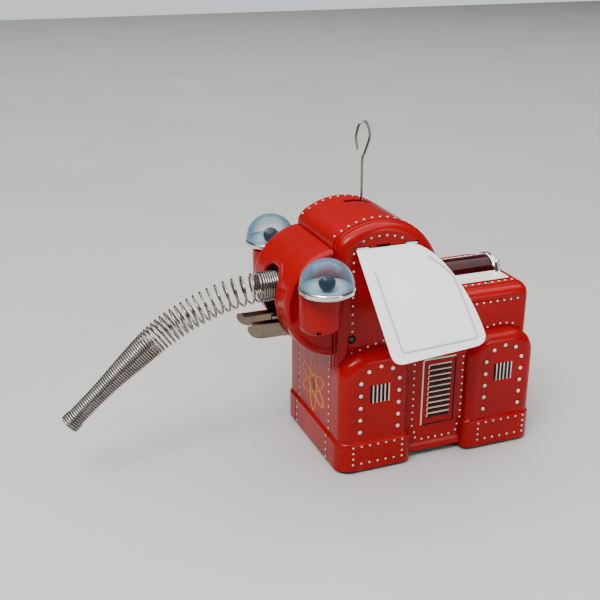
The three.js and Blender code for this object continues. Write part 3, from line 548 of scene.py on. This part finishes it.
# ---- body shells and band
def left_blocks(shrink):
    """Every pressed block of the left side, with its walls moved in by `shrink`."""
    def shrunk(outline):
        return lambda inset: outline(inset + shrink)

    def pairs(profile):
        return [(inset, y + shrink if k else y) for k, (inset, y) in enumerate(profile)]

    pieces = [across(shrunk(body_outline), pairs(core_profile()))]
    for span in (FRONT_LEG, REAR_LEG):
        pieces.append(across(shrunk(leg_outline(span)), pairs(leg_profile())))
    heights = [(0.0, BLOCK_FOOT), (0.0, SKIRT_TOP - 0.7), (0.25, SKIRT_TOP), (0.9, SKIRT_TOP + 0.7),
               (1.5, SKIRT_TOP + SKIRT_ROLL), (2.3, SKIRT_TOP + 1.9)]
    skirt = [(inset, z - shrink if z > 0 else z) for inset, z in heights]
    outer_round, inner_round = 8.5, 4.5
    front = plan_outline(BODY_FRONT - SKIRT_STEP, ARCH_FRONT, SKIRT_HALF, (outer_round, inner_round))
    rear = plan_outline(ARCH_REAR, BODY_REAR + SKIRT_STEP, SKIRT_HALF, (inner_round, outer_round))
    for outline in (front, rear):
        pieces.append(upright(shrunk(outline), skirt))
    waist_outline = plan_outline(-22, 22, WAIST_HALF, (1.5, 1.5))
    waist = [(-1.4, BLOCK_FOOT), (-1.4, 3.2), (-1.0, 5.0), (-0.2, 6.2), (0, 7.2), (0, 62), (0.8, 64.5),
             (3, 66)]
    pieces.append(upright(shrunk(waist_outline), waist))
    return boolean(pieces[0], *pieces[1:], operation="UNION")


def side_shell():
    """The left side shell as thin pressed sheet, open towards the band and below."""
    shell = left_blocks(0.0)
    boolean(shell, left_blocks(SHEET))
    cuts = [
        box((-BEYOND, -SEAM, -BEYOND), (BEYOND, BEYOND, BEYOND)),
        box(*UNDERSIDE),
        box((ARCH_FRONT, -BEYOND, -BEYOND), (ARCH_REAR, BEYOND, ARCH_TOP)),
    ]
    for x in EAR_SLOTS:
        low, high = (x - 4, -CORE_HALF - 2, EAR_Z - 1.1), (x + 4, -CORE_HALF + 2, EAR_Z + 1.1)
        cuts.append(box(low, high))
    cuts.append(round_bar(JAW_X, JAW_Z + 1, 2.4, -40, -20))
    return boolean(shell, *cuts)


def build_shells():
    """Both side shells; the right one has the hole for the winding arbor."""
    left = side_shell()
    left.name = "left_shell_tin"
    right = mirror(left, "right_shell_tin")
    boolean(right, round_bar(WINDING_X, WINDING_Z, 3.2, 28, 50))
    place(left, "body", "red_tin", ["left_shell"])
    place(right, "body", "red_tin", ["right_shell"])


def build_band():
    """The centre band runs up the front, over the hump and rump and down the back."""
    def outline(inset):
        return body_outline(inset, skirt=True)

    edge = 0.45
    half = [(0, BAND_HALF - edge), (edge * 0.3, BAND_HALF - 0.12), (edge, BAND_HALF)]
    profile = [(inset, -y) for inset, y in reversed(half)] + half
    outside = across(outline, profile)
    inside = across(outline, [(SHEET, -BAND_HALF - 1), (SHEET, BAND_HALF + 1)])
    slot_front, slot_rear, slot_r = -37.5, -20.5, 1.8
    slot_ends = (arc(slot_front + slot_r, ANTENNA_Y, slot_r, 90, 270, 8)
                 + arc(slot_rear - slot_r, ANTENNA_Y, slot_r, -90, 90, 8))
    slot = loft("slot", [[(x, y, z) for x, y in slot_ends] for z in (120, 145)], RED)
    window = box((WINDOW_FRONT + 3, -8, RUMP_TOP - 3), (WINDOW_REAR - 3, 8, RUMP_TOP + 3))
    jaw_half = MOUTH_HALF + 1
    jaw = box((BODY_FRONT - 1, -jaw_half, JAW_Z - 6), (BODY_FRONT + 1, jaw_half, JAW_Z + 10))
    band = boolean(outside, inside, slot, window, jaw, box(*UNDERSIDE))
    band.name = "centre_band_tin"
    place(band, "body", "red_tin", ["centre_band"])


# ---- rivets
def rivet_mesh(spots, name):
    """Low cream domes, each in a dark ring of painted shadow; each spot is (point, normal, radius)."""
    vertices, faces, dark = [], [], []
    around = circle(1, 12)
    segments = len(around)
    rings = [(1.35, -0.1), (1.35, 0.04), (0.96, 0.06), (0.93, 0.18), (0.78, 0.36), (0.45, 0.48)]
    shadow_ring_bands, crown = 2, 0.52  # bands of the painted shadow ring, the dome's height
    for point, normal, radius in spots:
        normal = Vector(normal).normalized()
        side = normal.orthogonal().normalized()
        other = normal.cross(side)
        start = len(vertices)
        for spread, height in rings:
            centre = Vector(point) + normal * radius * height
            vertices.extend(centre + (side * u + other * v) * radius * spread for u, v in around)
        vertices.append(Vector(point) + normal * radius * crown)
        for ring in range(len(rings) - 1):
            for k in range(segments):
                a, b = start + ring * segments + k, start + ring * segments + (k + 1) % segments
                if ring < shadow_ring_bands:
                    dark.append(len(faces))
                faces.append((a, b, b + segments, a + segments))
        last = start + (len(rings) - 1) * segments
        faces += [(last + k, last + (k + 1) % segments, len(vertices) - 1) for k in range(segments)]
        faces.append(tuple(start + k for k in range(segments))[::-1])
    obj = new_object(name, vertices, faces, CREAM)
    # the ring faces get maroon: painted shadow round each rivet's foot
    obj.data.materials.append(MAROON_PRINT_AND_SHADOW)
    for index in dark:
        obj.data.polygons[index].material_index = 1
    return obj


def row(start, end, count):
    """Evenly spaced (x, z) places from start to end."""
    return [tuple(a + (b - a) * k / (count - 1) for a, b in zip(start, end)) for k in range(count)]


def at_ear_slot(x, z):
    """Whether a rivet at (x, z) would sit in one of the ear's slots."""
    return abs(z - EAR_Z) < 2.2 and min(abs(x - slot) for slot in EAR_SLOTS) < 4.6


def side_rivet_places():
    """(x, z, y, radius) of every rivet on the left side."""
    places = []

    def add(points, y, radius=RIVET):
        places.extend((x, z, y, radius) for x, z in points if not at_ear_slot(x, z))

    for left, right in ((-51.8, -22.6), (25.0, 54.2)):  # skirts
        for z in (14.4, 4.05):
            add(row((left, z), (right, z), 7), SKIRT_HALF)
        for x in (left, right):
            add([(x, 7.5), (x, 10.95)], SKIRT_HALF)
    for columns, crown in (((-47.5, -25.1), -36.2), ((28.2, 50.6), 39.6)):  # legs
        for x in columns:
            add(row((x, 22.4), (x, 51.2), 5), LEG_HALF, BIG_RIVET)
        add(arc(crown, 47.7, 12.0, 125, 55, 2), LEG_HALF, BIG_RIVET)
    for x, lower_x in ((-14.0, -11.6), (16.0, 13.8)):  # waist
        add(row((x, 55.0), (x, 17.6), 10), WAIST_HALF)
        add([(lower_x + (x - lower_x) * 0.35, 13.4), (lower_x, 9.8)], WAIST_HALF)
    add(row((-11.6, 8.2), (13.8, 8.2), 7)[1:-1], WAIST_HALF)
    for points in (arc(HUMP_X, HUMP_Z, 29.4, 119, 6, 13), row((-49.3, 120.6), (-49.3, 78.0), 10),
                   row((-49.3, 65.4), (-31.0, 70.0), 5), row((12.0, 82.8), (51.0, 82.8), 10),
                   [(53.6, 80.3), (53.8, 75.9), (53.7, 71.2)], arc(41.0, 37.0, 32.0, 68, 112, 6)):
        add(points, CORE_HALF)
    return places


def build_rivets():
    """The embossed rivets of both shells and of the band."""
    spots = [((x, -y, z), (0, -1, 0), radius) for x, z, y, radius in side_rivet_places()]
    left = rivet_mesh(spots, "left_rivets")
    right = mirror(left, "right_rivets")
    band = []
    skirt_rows = (1.4, 5.7, 10.2, 14.4)
    wall_rows = [18.6 + 4.46 * k for k in range(24)]
    for y in (-22.0, 22.0):
        band += [((BODY_FRONT - SKIRT_STEP, y, z), (-1, 0, 0), RIVET) for z in skirt_rows]
        band += [((BODY_FRONT, y, z), (-1, 0, 0), RIVET) for z in wall_rows if z < 124]
        band += [((x, y, z), (x - HUMP_X, 0, z - HUMP_Z), RIVET)
                 for x, z in arc(HUMP_X, HUMP_Z, HUMP_R, 128, 10, 17)]
        band += [((30.5 + 4.2 * k, y, RUMP_TOP), (0, 0, 1), RIVET) for k in range(-5, 6)]
        band += [((BODY_REAR, y, z), (1, 0, 0), RIVET) for z in wall_rows if z < 82]
        band += [((BODY_REAR + SKIRT_STEP, y, z), (1, 0, 0), RIVET) for z in skirt_rows]
    for obj in (left, right, rivet_mesh(band, "band_rivets")):
        place(obj, "body", "red_tin", weighted=False, sharp=60)


# ---- printed and pressed details
def strip(points, half_width, y, thickness, material):
    """A thin flat line of print along (x, z) points on the left side."""
    section = [(-half_width, -0.05), (half_width, -0.05), (half_width, thickness), (-half_width, thickness)]
    return sweep("strip", [(x, -y, z) for x, z in points], section, material, start_normal=-ACROSS)


def louvre(left, right, top, drop):
    """One louvre: a light lip along its top and down its left end, over a dark throat."""
    y = WAIST_HALF
    slope = [(0.1, top + 0.1), (0.5, top - drop * 0.1), (0.35, top - drop * 0.45), (0.05, top - drop)]
    body = [[(x, -y - out, z) for out, z in slope] for x in (left + 0.3, right)]
    return [
        loft("throat", body, MAROON_PRINT_AND_SHADOW),
        strip([(left + 0.7, top - drop * 0.30), (right, top - drop * 0.30)], drop * 0.19, y, 0.5, BLACK),
        strip([(left, top), (right, top)], 0.26, y, 0.58, CREAM),
        strip([(left, top), (left - 0.1, top - drop * 0.75)], 0.26, y, 0.4, CREAM),
    ]


def louvre_panel():
    """The louvred door on the waist: light frame lines above and left, dark ones below and right."""
    left, right, low, high = -8.5, 11.3, 17.0, 56.5
    y = WAIST_HALF
    pieces = [
        strip([(left, low), (left, high - 1.2), (left + 0.4, high - 0.3), (left + 1.3, high), (right, high)],
              0.40, y, 0.12, CREAM),
        strip([(right, high - 0.3), (right, low), (left + 0.3, low)], 0.48, y, 0.10, BLACK),
    ]
    count, border = 10, 3.4
    pitch = (high - low - 2 * border) / count
    for k in range(count):
        pieces += louvre(left + border, right - border + 0.6, high - border - pitch * k, pitch * 0.86)
    return pieces


def grille(centre_x):
    """Five dark upright slots with light bars between them."""
    width, height, z, count, y = 11.5, 9.9, 44.3, 5, LEG_HALF
    low, high = z - height / 2, z + height / 2
    pitch = width / count
    pieces = []
    for k in range(count):
        x = centre_x - width / 2 + pitch * (k + 0.5)
        left, right, bar = x - pitch * 0.46, x + pitch * 0.14, x + pitch * 0.30
        pieces.append(box((left, -y - 0.1, low), (right, -y + 0.2, high), BLACK))
        pieces.append(strip([(bar, low - 0.4), (bar, high)], 0.25, y, 0.4, CREAM))
    return pieces


def orbits():
    """A plain three-orbit atom sign on the front panel, round a small upright slit."""
    pieces = []
    x, height, long, short, line = BODY_FRONT - 0.05, 35.5, 16.5, 4.6, 0.21
    for turn in (90, 27, 153):
        c, s = cos(radians(turn)), sin(radians(turn))
        path = [(x, long * u * c - short * v * s, height + long * u * s + short * v * c)
                for u, v in circle(1, 56)]
        pieces.append(sweep("orbit", path, circle(line, 6), ORANGE, closed=True, start_normal=FORWARDS))
    pieces.append(box((x - 0.05, -0.6, height - 4.5), (x + 0.25, 0.6, height + 4.5), BLACK))
    return pieces


def build_prints():
    """The louvred doors, the legs' grilles and the sign on the front."""
    left = join("left_prints", louvre_panel() + grille(-36.5) + grille(39.0))
    right = mirror(left, "right_prints")
    for obj in (left, right, join("front_sign", orbits())):
        place(obj, "body", "red_tin", weighted=False)


# ---- head
def drum_outline(inset):
    """The head from the side: a half drum that runs back into the body."""
    radius = HEAD_R - inset
    return ([(HEAD_X + 6, HEAD_Z + radius), (HEAD_X + 6, HEAD_Z - radius)]
            + arc(HEAD_X, HEAD_Z, radius, 270, 90, 48))


def mouth_outline(grow):
    """(y, z) of the mouth slot, a tall opening with rounded corners, `grow` larger all round."""
    half, corner = MOUTH_HALF + grow, MOUTH_ROUND + grow
    high, low = MOUTH_HIGH + grow - corner, MOUTH_LOW - grow + corner
    points = []
    for side, z, start in ((-1, high, 180), (1, high, 90), (1, low, 0), (-1, low, -90)):
        points += arc(side * (half - corner), z, corner, start, start - 90, 6)
    return points


def on_drum(y, z, out):
    """The point of the drum's front at (y, z), standing out by `out`."""
    dz = max(-HEAD_R, min(HEAD_R, z - HEAD_Z))
    dx = sqrt(HEAD_R * HEAD_R - dz * dz)
    scale = (HEAD_R + out) / HEAD_R
    return Vector((HEAD_X - dx * scale, y, HEAD_Z + dz * scale))


def build_head():
    """The drum with its rolled rims, and the mouth cut through its front with a roll round it."""
    rim = [(0, -3.0), (0.1, -1.9), (0.4, -1.0), (0.9, -0.35), (1.6, 0), (2.3, -0.1), (3.3, -0.5),
           (4.3, -0.95), (5, -1.05)]  # inset from the drum, height over its side
    edge = [(inset, HEAD_HALF + out) for inset, out in rim]
    whole = [(inset, -y) for inset, y in reversed(edge)] + edge
    drum = across(drum_outline, whole)
    hollow = [(inset + SHEET, y + (SHEET if y < 0 else -SHEET)) for inset, y in whole]
    # the drum's inner wall is painted near black: painted shade inside the head
    inner = across(drum_outline, hollow, INSIDE_SHADE)
    back = box((BODY_FRONT - 0.3, -60, 0), (60, 60, 200))
    mouth = along_x(mouth_outline(0), -120, HEAD_X - 9)
    boolean(drum, inner, back, mouth)
    route = smooth_path([(0, y, z) for y, z in mouth_outline(LIP)], 3, closed=True)
    section = [(u * LIP, v * 0.95) for u, v in circle(1, 12)]
    lip = sweep("lip", [on_drum(p.y, p.z, -0.15) for p in route], section, RED, closed=True,
                start_normal=FORWARDS)
    place(join("head_shell_tin", [drum, lip]), "body", "red_tin", ["head_shell"])


def pod_outline(inset):
    """A circle with its back cut flat where it meets the drum."""
    radius = POD_R - inset
    lean = degrees(asin(min(1.0, (POD_Y - POD_BACK) / radius)))
    return arc(POD_X, -POD_Y, radius, 180 - lean, 360 + lean, 40)


def eye_pod():
    """A thin round pod with a rolled bottom and a small hole low on its outer side."""
    top, corner = EYE_RING_LOW - 0.7, 4.5
    low = arc(corner, POD_LOW + corner, corner, 270, 180, 8)
    pod = upright(pod_outline, low + [(0, top)])
    inside = [(inset + SHEET, z + SHEET) for inset, z in low] + [(SHEET, top - SHEET)]
    hole = round_bar(POD_X - 4.4, POD_LOW + 2.6, 1.1, -50, -40, 16)
    # the pod's inner wall is painted near black: painted shade inside the pod
    return boolean(pod, upright(pod_outline, inside, INSIDE_SHADE), hole)


def over_eye(name, profile, segments, material):
    """Spins a (radius, z) profile about the left eye's upright axis."""
    piece = lathe(name, profile, segments, material)
    piece.data.transform(Matrix.Translation((EYE_X, -EYE_Y, 0)))
    return piece


def eye_ring():
    """A chromed ring round a shallow blue-grey dish."""
    low, high, radius = EYE_RING_LOW, EYE_RING_HIGH, EYE_RING_R
    dish_radius, dish_low, dish_depth = 13.0, high - 2.8, 2.6
    profile = [(0, high - 3.2), (radius - 3.5, high - 3.2), (radius - 1.6, low - 0.1),
               (radius - 0.5, low + 0.1), (radius - 0.05, low + 0.7), (radius - 0.15, low + 1.5),
               (radius, low + 2.0), (radius - 0.1, high - 0.4), (radius - 0.5, high),
               (radius - 0.9, high - 0.05)]
    profile += [(dish_radius * part, dish_low + dish_depth * part * part)
                for part in (1, 0.85, 0.7, 0.5, 0.25, 0)]
    ring = lathe("eye_ring", profile, 56, CHROME)
    ring.data.materials.append(DISH)
    for face in ring.data.polygons:
        if face.normal.z > 0.5 and face.center.xy.length < dish_radius:
            face.material_index = 1
    ring.data.transform(Matrix.Translation((EYE_X, -EYE_Y, 0)))
    return ring


def eye_dome():
    """A thin half sphere of see-through plastic."""
    base = EYE_RING_HIGH + 0.15
    inside = arc(0, base, EYE_DOME_R - 0.8, 0, 90, 16)
    return over_eye("eye_dome", inside[::-1] + arc(0, base, EYE_DOME_R, 0, 90, 16), 56, BLUE)


def pupil_ball():
    """A loose ball, where the CAD ball is."""
    low, high = ((corner.z - TO_FRAME.translation.z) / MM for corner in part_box("left_pupil"))
    return over_eye("pupil", arc(0, (high + low) / 2, (high - low) / 2, -90, 90, 20), 36, PUPIL)


def build_eyes():
    place_pair(eye_pod(), "eye_pod", "red_tin", sharp=40)
    place_pair(eye_ring(), "eye_ring", "chrome", sharp=40, weighted=False)
    place_pair(eye_dome(), "eye_dome", "blue_dome", sharp=40, weighted=False)
    bodies = ("left_pupil", "right_pupil")
    place_pair(pupil_ball(), "pupil", "black_plastic", bodies, sharp=40, weighted=False)


# ---- rear window and tail knob
def barrel_arc(radius):
    """(y, z) over the top of the barrel, cut off at the window's foot."""
    centre = WINDOW_CROWN - WINDOW_R
    start = degrees(asin((WINDOW_FOOT - centre) / radius))
    return arc(0, centre, radius, start, 180 - start, 20)


def build_window():
    """The dark red barrel, and its bright bezel: a flange on each side and an arch at the rear."""
    thick, back, low = 0.8, WINDOW_REAR - 0.1, WINDOW_FOOT
    section = barrel_arc(WINDOW_R) + barrel_arc(WINDOW_R - thick)[::-1]
    tube = along_x(section, WINDOW_FRONT, back, RUBY)
    end = along_x(barrel_arc(WINDOW_R - thick - 0.05), WINDOW_REAR - thick, back, RUBY)
    place(join("window_cover_look", [tube, end]), "body", "red_window", ["window_cover"])
    inner, outer, lift = WINDOW_R - 0.1, WINDOW_FLANGE, 0.8
    flange = [(inner, low), (outer - 0.3, low), (outer, low + 0.25), (outer - 0.15, low + lift * 0.8),
              (outer - 0.8, low + lift), (inner + 0.6, low + lift), (inner + 0.2, low + lift + 0.9),
              (inner, low + lift + 0.9)]
    pieces = [along_x([(side * y, z) for y, z in flange], WINDOW_FRONT, WINDOW_REAR + 3.5, TRIM)
              for side in (-1, 1)]
    arch = [(0.2, 0.1), (0.9, 0.2), (1.4, 0.8), (1.3, 2.6), (0.6, 3.3), (-1.2, 3.3), (-1.4, 2.6),
            (-0.6, 0.1)]  # out from the barrel, back from its end
    lines = [(WINDOW_REAR + dx, barrel_arc(WINDOW_R + out)) for out, dx in arch]
    pieces.append(loft("arch", [[(x, *line[k]) for x, line in lines] for k in range(21)], CHROME))
    place(join("window_bezel_look", pieces), "body", "chrome", ["window_bezel"])


def build_tail_knob():
    """A small ball on a stem, behind the window."""
    low, ball = WINDOW_FOOT, 1.6
    profile = [(0, low), (2.2, low), (2.2, low + 0.3), (1.0, low + 0.6), (0.75, TAIL_Z - 1.4)]
    profile += arc(0, TAIL_Z, ball, -60, 75, 9) + [(0, TAIL_Z + ball)]
    knob = lathe("tail_knob_look", profile, 24, CHROME)
    knob.data.transform(Matrix.Translation((TAIL_X, 0, 0)))
    place(knob, "body", "chrome", ["tail_knob"], weighted=False, sharp=50)


# ---- ears
def ear_outline(inset):
    """The ear drawn flat: x along the hinge, y the distance down from it."""
    points = [(EAR_FRONT, 0), (EAR_REAR, 0)]
    points += bezier((EAR_REAR, 0), (-6, 1.5), (8, 22), (11.5, 51), 20)[1:]
    points += bezier((11.5, 51), (12, 56.5), (8, 58), (3.5, 58.3), 8)[1:]
    points += bezier((-37, EAR_DROP), (-42, EAR_DROP), (-43, 58), (-43.3, 54), 8)
    moved = []
    for k, point in enumerate(points):
        before, after = Vector(points[k - 1]), Vector(points[(k + 1) % len(points)])
        direction = (after - before).normalized()
        moved.append((point[0] - direction.y * inset, point[1] + direction.x * inset))
    return moved


def ear_point(x, down, out):
    """A point of the left ear's plate, `out` above its outer face."""
    tilt = radians(EAR_TILT)
    return Vector((x, -EAR_Y - down * sin(tilt) - out * cos(tilt),
                   EAR_Z - down * cos(tilt) + out * sin(tilt)))


def build_ears():
    """Each ear is one sheet with an embossed line, and two tabs in the shell's slots."""
    edge = [(0.25, -0.6), (0.0, -0.42), (0.0, -0.15), (0.25, 0.0)]
    rings = [[ear_point(x, down, out) for x, down in ear_outline(inset)] for inset, out in edge]
    line = [(-41.3, 11.9), (-38.9, 34), (-36.8, 52.0), (-36.2, 54.2), (-34.2, 55.2), (-14, 54.6),
            (3.5, 53.8), (5.9, 53.0), (6.4, 50.8), (2.6, 24.7), (-0.8, 17.2), (-5.3, 12.0), (-10.1, 7.6)]
    route = smooth_path([ear_point(x, down, -0.05) for x, down in line], 6)
    outwards = ear_point(0, 0, 1) - ear_point(0, 0, 0)
    # the bead is painted grey: painted shade of the embossed line on the white ear
    pieces = [loft("ear", rings, WHITE),
              sweep("bead", route, circle(0.6, 10), EAR_LINE_SHADE, start_normal=outwards)]
    for x in (EAR_SLOTS[0], EAR_SLOTS[-1]):
        low, high = (x - 3, -EAR_Y - 0.2, EAR_Z - 0.3), (x + 3, -EAR_Y + 7.5, EAR_Z + 0.3)
        pieces.append(box(low, high, WHITE))
    place_pair(join("ear", pieces), "ear", "white_enamel", ("left_ear", "right_ear"), sharp=40)


# ---- trunk, antenna and tusks
def ease(value):
    """0 below 0, 1 above 1, and smooth between."""
    value = max(0.0, min(1.0, value))
    return value * value * (3 - 2 * value)


def trunk_point(line, lengths, distance):
    """Centre and up direction at a distance along the trunk's line."""
    index = next((k for k in range(1, len(lengths)) if lengths[k] >= distance), len(lengths) - 1)
    span = lengths[index] - lengths[index - 1]
    part = (distance - lengths[index - 1]) / span
    forward = (line[index] - line[index - 1]).normalized()
    return line[index - 1].lerp(line[index], part), forward.cross(ACROSS)


def coil_pitch(distance, part):
    """From coil to coil: closed at the root, open and tightening along the neck, then closed."""
    opens, tightens = TRUNK_OPEN[0], TRUNK_OPEN[1] - TRUNK_OPEN[0]
    loose = opens + tightens * max(0.0, part - 0.1) / 0.42
    opening = ease((distance - TRUNK_ROOT_LONG) / 5) * ease((TRUNK_NECK - part) / 0.09)
    return TRUNK_CLOSED + (loose - TRUNK_CLOSED) * opening


def coil_radius(part):
    """Radius of the wire's middle line: even at first, then tapering to a slightly flared tip."""
    taper = ease((part - TRUNK_TAPER) / 0.42)
    flare = 0.55 * ease((part - 0.955) / 0.01)
    return TRUNK_ROOT_R + (TRUNK_TIP_R - TRUNK_ROOT_R) * taper - TRUNK_WIRE + flare


def build_trunk():
    """A wound spring: closed coils at the root, open ones that tighten, and a tapered closed tip."""
    line = smooth_path([(x, 0, z) for x, z in TRUNK_LINE], 24)
    lengths = [0.0]
    for a, b in zip(line, line[1:]):
        lengths.append(lengths[-1] + (b - a).length)
    total, per_turn = lengths[-1], 22
    path, distance, angle = [], TRUNK_WIRE, 0.0
    while distance < total - TRUNK_WIRE:
        radius = coil_radius(distance / total)
        centre, up = trunk_point(line, lengths, distance)
        path.append(centre + up * radius * cos(angle) + ACROSS * radius * sin(angle))
        angle += 2 * PI / per_turn
        distance += coil_pitch(distance, distance / total) / per_turn
    coil = sweep("trunk_spring_look", path, circle(TRUNK_WIRE, 8), WIRE, start_normal=-FORWARDS)
    place(coil, "trunk", "spring_steel", ["trunk_spring"], sharp=80, weighted=False)


def build_antenna():
    """The wire lever with its finger loop, and the eye that it pivots on."""
    x, y, pivot, neck, top = ANTENNA_X, ANTENNA_Y, ANTENNA_PIVOT, ANTENNA_NECK, ANTENNA_TOP

    def wire(points, steps):
        path = smooth_path([(x + dx, y, z) for dx, z in points], steps)
        return sweep("wire", path, circle(0.7, 12), WIRE)

    middle, reach = (neck + top) / 2, 4.0
    rod = wire([(0, pivot + 3), (0, neck - 20), (0, neck - 4), (reach * 0.35, neck), (reach, middle),
                (reach * 0.6, top - 2), (0, top), (-reach * 0.6, top - 2), (-reach, middle),
                (-reach * 0.75, neck + 2)], 7)
    tail = wire([(0, pivot - 3), (4, pivot - 20), (11, pivot - 38)], 6)
    eye_path = [(x + dx, y, pivot + dz) for dx, dz in circle(2.7, 28)]
    eye = sweep("eye", eye_path, circle(0.8, 10), WIRE, closed=True)
    place(join("antenna_lever_look", [rod, tail, eye]), "antenna", "spring_steel", ["antenna_lever"],
          sharp=60, weighted=False)


def tusk():
    """A folded blade: side plate with a rounded tip, and its top edge turned inwards."""
    tip, rear, low, high, thick = TUSK_TIP, TUSK_REAR, TUSK_LOW, TUSK_HIGH, 0.8
    outline = [(rear, low)]
    outline += bezier((tip + 9, low), (tip + 4, low), (tip + 0.6, high - 5.5), (tip, high - 1.6), 10)
    outline += [(tip + 0.3, high - 0.7), (tip + 1.2, high - 0.2), (rear, high - 0.2)]
    # the blade's tan-brown tint is a painted reflection of a wooden tabletop
    plate = loft("blade", [[(x, y, z) for x, z in outline] for y in (-TUSK_Y, -TUSK_Y + thick)], BLADE_WOOD_REFLECTION)
    bend = [(0, high - 1.2), (0.1, high - 0.5), (0.5, high - 0.1), (1.1, high), (5.0, high),
            (5.0, high - thick), (1.0, high - thick), (thick, high - 1.3)]
    flange = along_x([(-TUSK_Y + y, z) for y, z in bend], rear, tip + 3.0, BLADE_WOOD_REFLECTION)
    return boolean(plate, flange, operation="UNION")


def build_tusks():
    place_pair(tusk(), "tusk", "chrome", ("jaw", "jaw"))


# ---- key and road wheels
def turned(name, profile, x, z, segments, material):
    """Spins closed (radius, y) points about the line along Y through (x, z)."""
    rings = [[(x + radius * u, y, z + radius * v) for radius, y in profile] for u, v in circle(1, segments)]
    return loft(name, rings, material, closed=True)


def build_key():
    """A butterfly key: two rounded bows on a turned barrel with a collar."""
    bow_y, radius = KEY_LOW + KEY_BOW_OUT, 6.25
    section = [(1.75 * copysign(abs(u) ** 0.6, u), 0.8 * v) for u, v in circle(1, 16)]
    pieces = []
    for side in (-1, 1):
        path = [(WINDING_X + side * KEY_SPREAD + x, bow_y, WINDING_Z + z) for x, z in circle(radius, 40)]
        pieces.append(sweep("bow", path, section, STEEL, closed=True))
    end = KEY_LOW + KEY_LENGTH
    profile = [(1.75, KEY_LOW), (2.5, KEY_LOW), (KEY_BARREL, KEY_LOW + 0.4), (KEY_BARREL, KEY_LOW + 2.2),
               (2.4, KEY_LOW + 2.7), (2.4, end - 3.5), (KEY_BARREL, end - 3.0), (KEY_BARREL, end - 0.6),
               (2.2, end), (0.3, end), (0.3, KEY_LOW + 8.4), (1.75, KEY_LOW + 8.4)]
    pieces.append(turned("barrel", profile, WINDING_X, WINDING_Z, 32, STEEL))
    place(join("winding_key_look", pieces), "winding", "plated_steel", ["winding_key"], sharp=50)


def road_wheel(x, side):
    """A rubber tyre on a dished hub, each the same on both faces."""
    tyre = [(8.8, 0.2), (9.2, 0), (10.9, 0), (11.7, 0.4), (WHEEL_R, 1.1)]
    hub = [(1.7, 0), (3.6, 0), (4.0, 0.9), (7.4, 1.2), (8.1, 0.3), (8.9, 0.3)]
    pieces = []
    for half, material in ((tyre, RUBBER), (hub, PUPIL)):
        profile = [(radius, side * (WHEEL_INNER + depth)) for radius, depth in half]
        profile += [(radius, side * (WHEEL_INNER + WHEEL_WIDTH - depth)) for radius, depth in half[::-1]]
        pieces.append(turned("wheel", profile, x, AXLE_Z, 40, material))
    return join("wheel", pieces)


def build_wheels():
    for end, x, body in (("rear", REAR_AXLE_X, "drive_axle"), ("front", FRONT_AXLE_X, "front_axle")):
        for side, sign in (("left", -1), ("right", 1)):
            wheel = road_wheel(x, sign)
            wheel.name = f"{end}_{side}_wheel_look"
            place(wheel, body, "rubber", [f"{end}_{side}_wheel"], sharp=40, weighted=False)


# ---- stage, lights and camera
VIEW_FROM, VIEW_ANGLE = (-242.9, -451.35, 278.56), 34.46
VIEW_YAW, VIEW_PITCH, VIEW_ROLL = 21.3, -21.56, 0.11
FLOOR_HALF, FLOOR_THICK = 2600, 20
LIGHTS = (  # name, place, aim, size, watts
    ("key", (-480, -400, 820), (0, 0, 60), (420, 320), 9.0),
    ("fill", (300, -620, 260), (0, 0, 60), (200, 300), 0.8),
    ("top", (-150, 100, 2200), (-50, 50, 0), (4400, 4000), 150),
)
WORLD_COLOUR, WORLD_LIGHT, WORLD_SEEN = (0.82, 0.85, 0.88, 1), 0.12, 1.0


def build_camera():
    def rotation(angle, axis):
        return Matrix.Rotation(radians(angle), 4, axis)

    data = bpy.data.cameras.new("camera")
    data.angle = radians(VIEW_ANGLE)
    camera = bpy.data.objects.new("camera", data)
    link(camera)
    turn = rotation(-VIEW_YAW, "Z") @ rotation(90 + VIEW_PITCH, "X") @ rotation(VIEW_ROLL, "Z")
    camera.matrix_world = Matrix.Translation(TO_FRAME @ Vector(VIEW_FROM)) @ turn
    bpy.context.scene.camera = camera


def area_light(name, place_mm, aim_mm, size_mm, power):
    """A soft rectangle of light at one point, aimed at another."""
    data = bpy.data.lights.new(name, "AREA")
    data.shape = "RECTANGLE"
    data.size, data.size_y = size_mm[0] * MM, size_mm[1] * MM
    data.energy = power
    light = bpy.data.objects.new(name, data)
    link(light)
    start, aim = TO_FRAME @ Vector(place_mm), TO_FRAME @ Vector(aim_mm)
    turn = (aim - start).to_track_quat("-Z", "Y").to_matrix().to_4x4()
    light.matrix_world = Matrix.Translation(start) @ turn


def build_stage():
    """The pale floor, a world that the camera sees brighter than it lights, and three soft lights."""
    low, high = (-FLOOR_HALF, -FLOOR_HALF, -FLOOR_THICK), (FLOOR_HALF, FLOOR_HALF, 0)
    floor = box(low, high, floor_material())
    floor.name = "floor"
    floor.data.transform(Matrix.Translation((0, 0, cad_box[0].z)) @ Matrix.Scale(MM, 4))
    world = bpy.data.worlds.new("world")
    world.use_nodes = True
    tree = world.node_tree
    background = tree.nodes["Background"]
    background.inputs["Color"].default_value = WORLD_COLOUR
    seen = tree.nodes.new("ShaderNodeLightPath").outputs["Is Camera Ray"]
    feed(tree, background, Strength=remap(tree, seen, 0, 1, WORLD_LIGHT, WORLD_SEEN))
    bpy.context.scene.world = world
    for light in LIGHTS:
        area_light(*light)


def floor_material():
    material, tree, shader = node_material("pale_floor")
    clouds = remap(tree, noise(tree, 6, 4), 0.3, 0.7)
    base = mixed(tree, clouds, (0.50, 0.495, 0.48), (0.46, 0.455, 0.44))
    feed(tree, shader, Base_Color=base, Roughness=0.6)
    return material


# ---- the whole toy
build_camera()
build_stage()
finish_cad_nodes()
build_shells()
build_band()
build_rivets()
build_prints()
build_head()
build_eyes()
build_window()
build_tail_knob()
build_ears()
build_trunk()
build_antenna()
build_tusks()
build_key()
build_wheels()
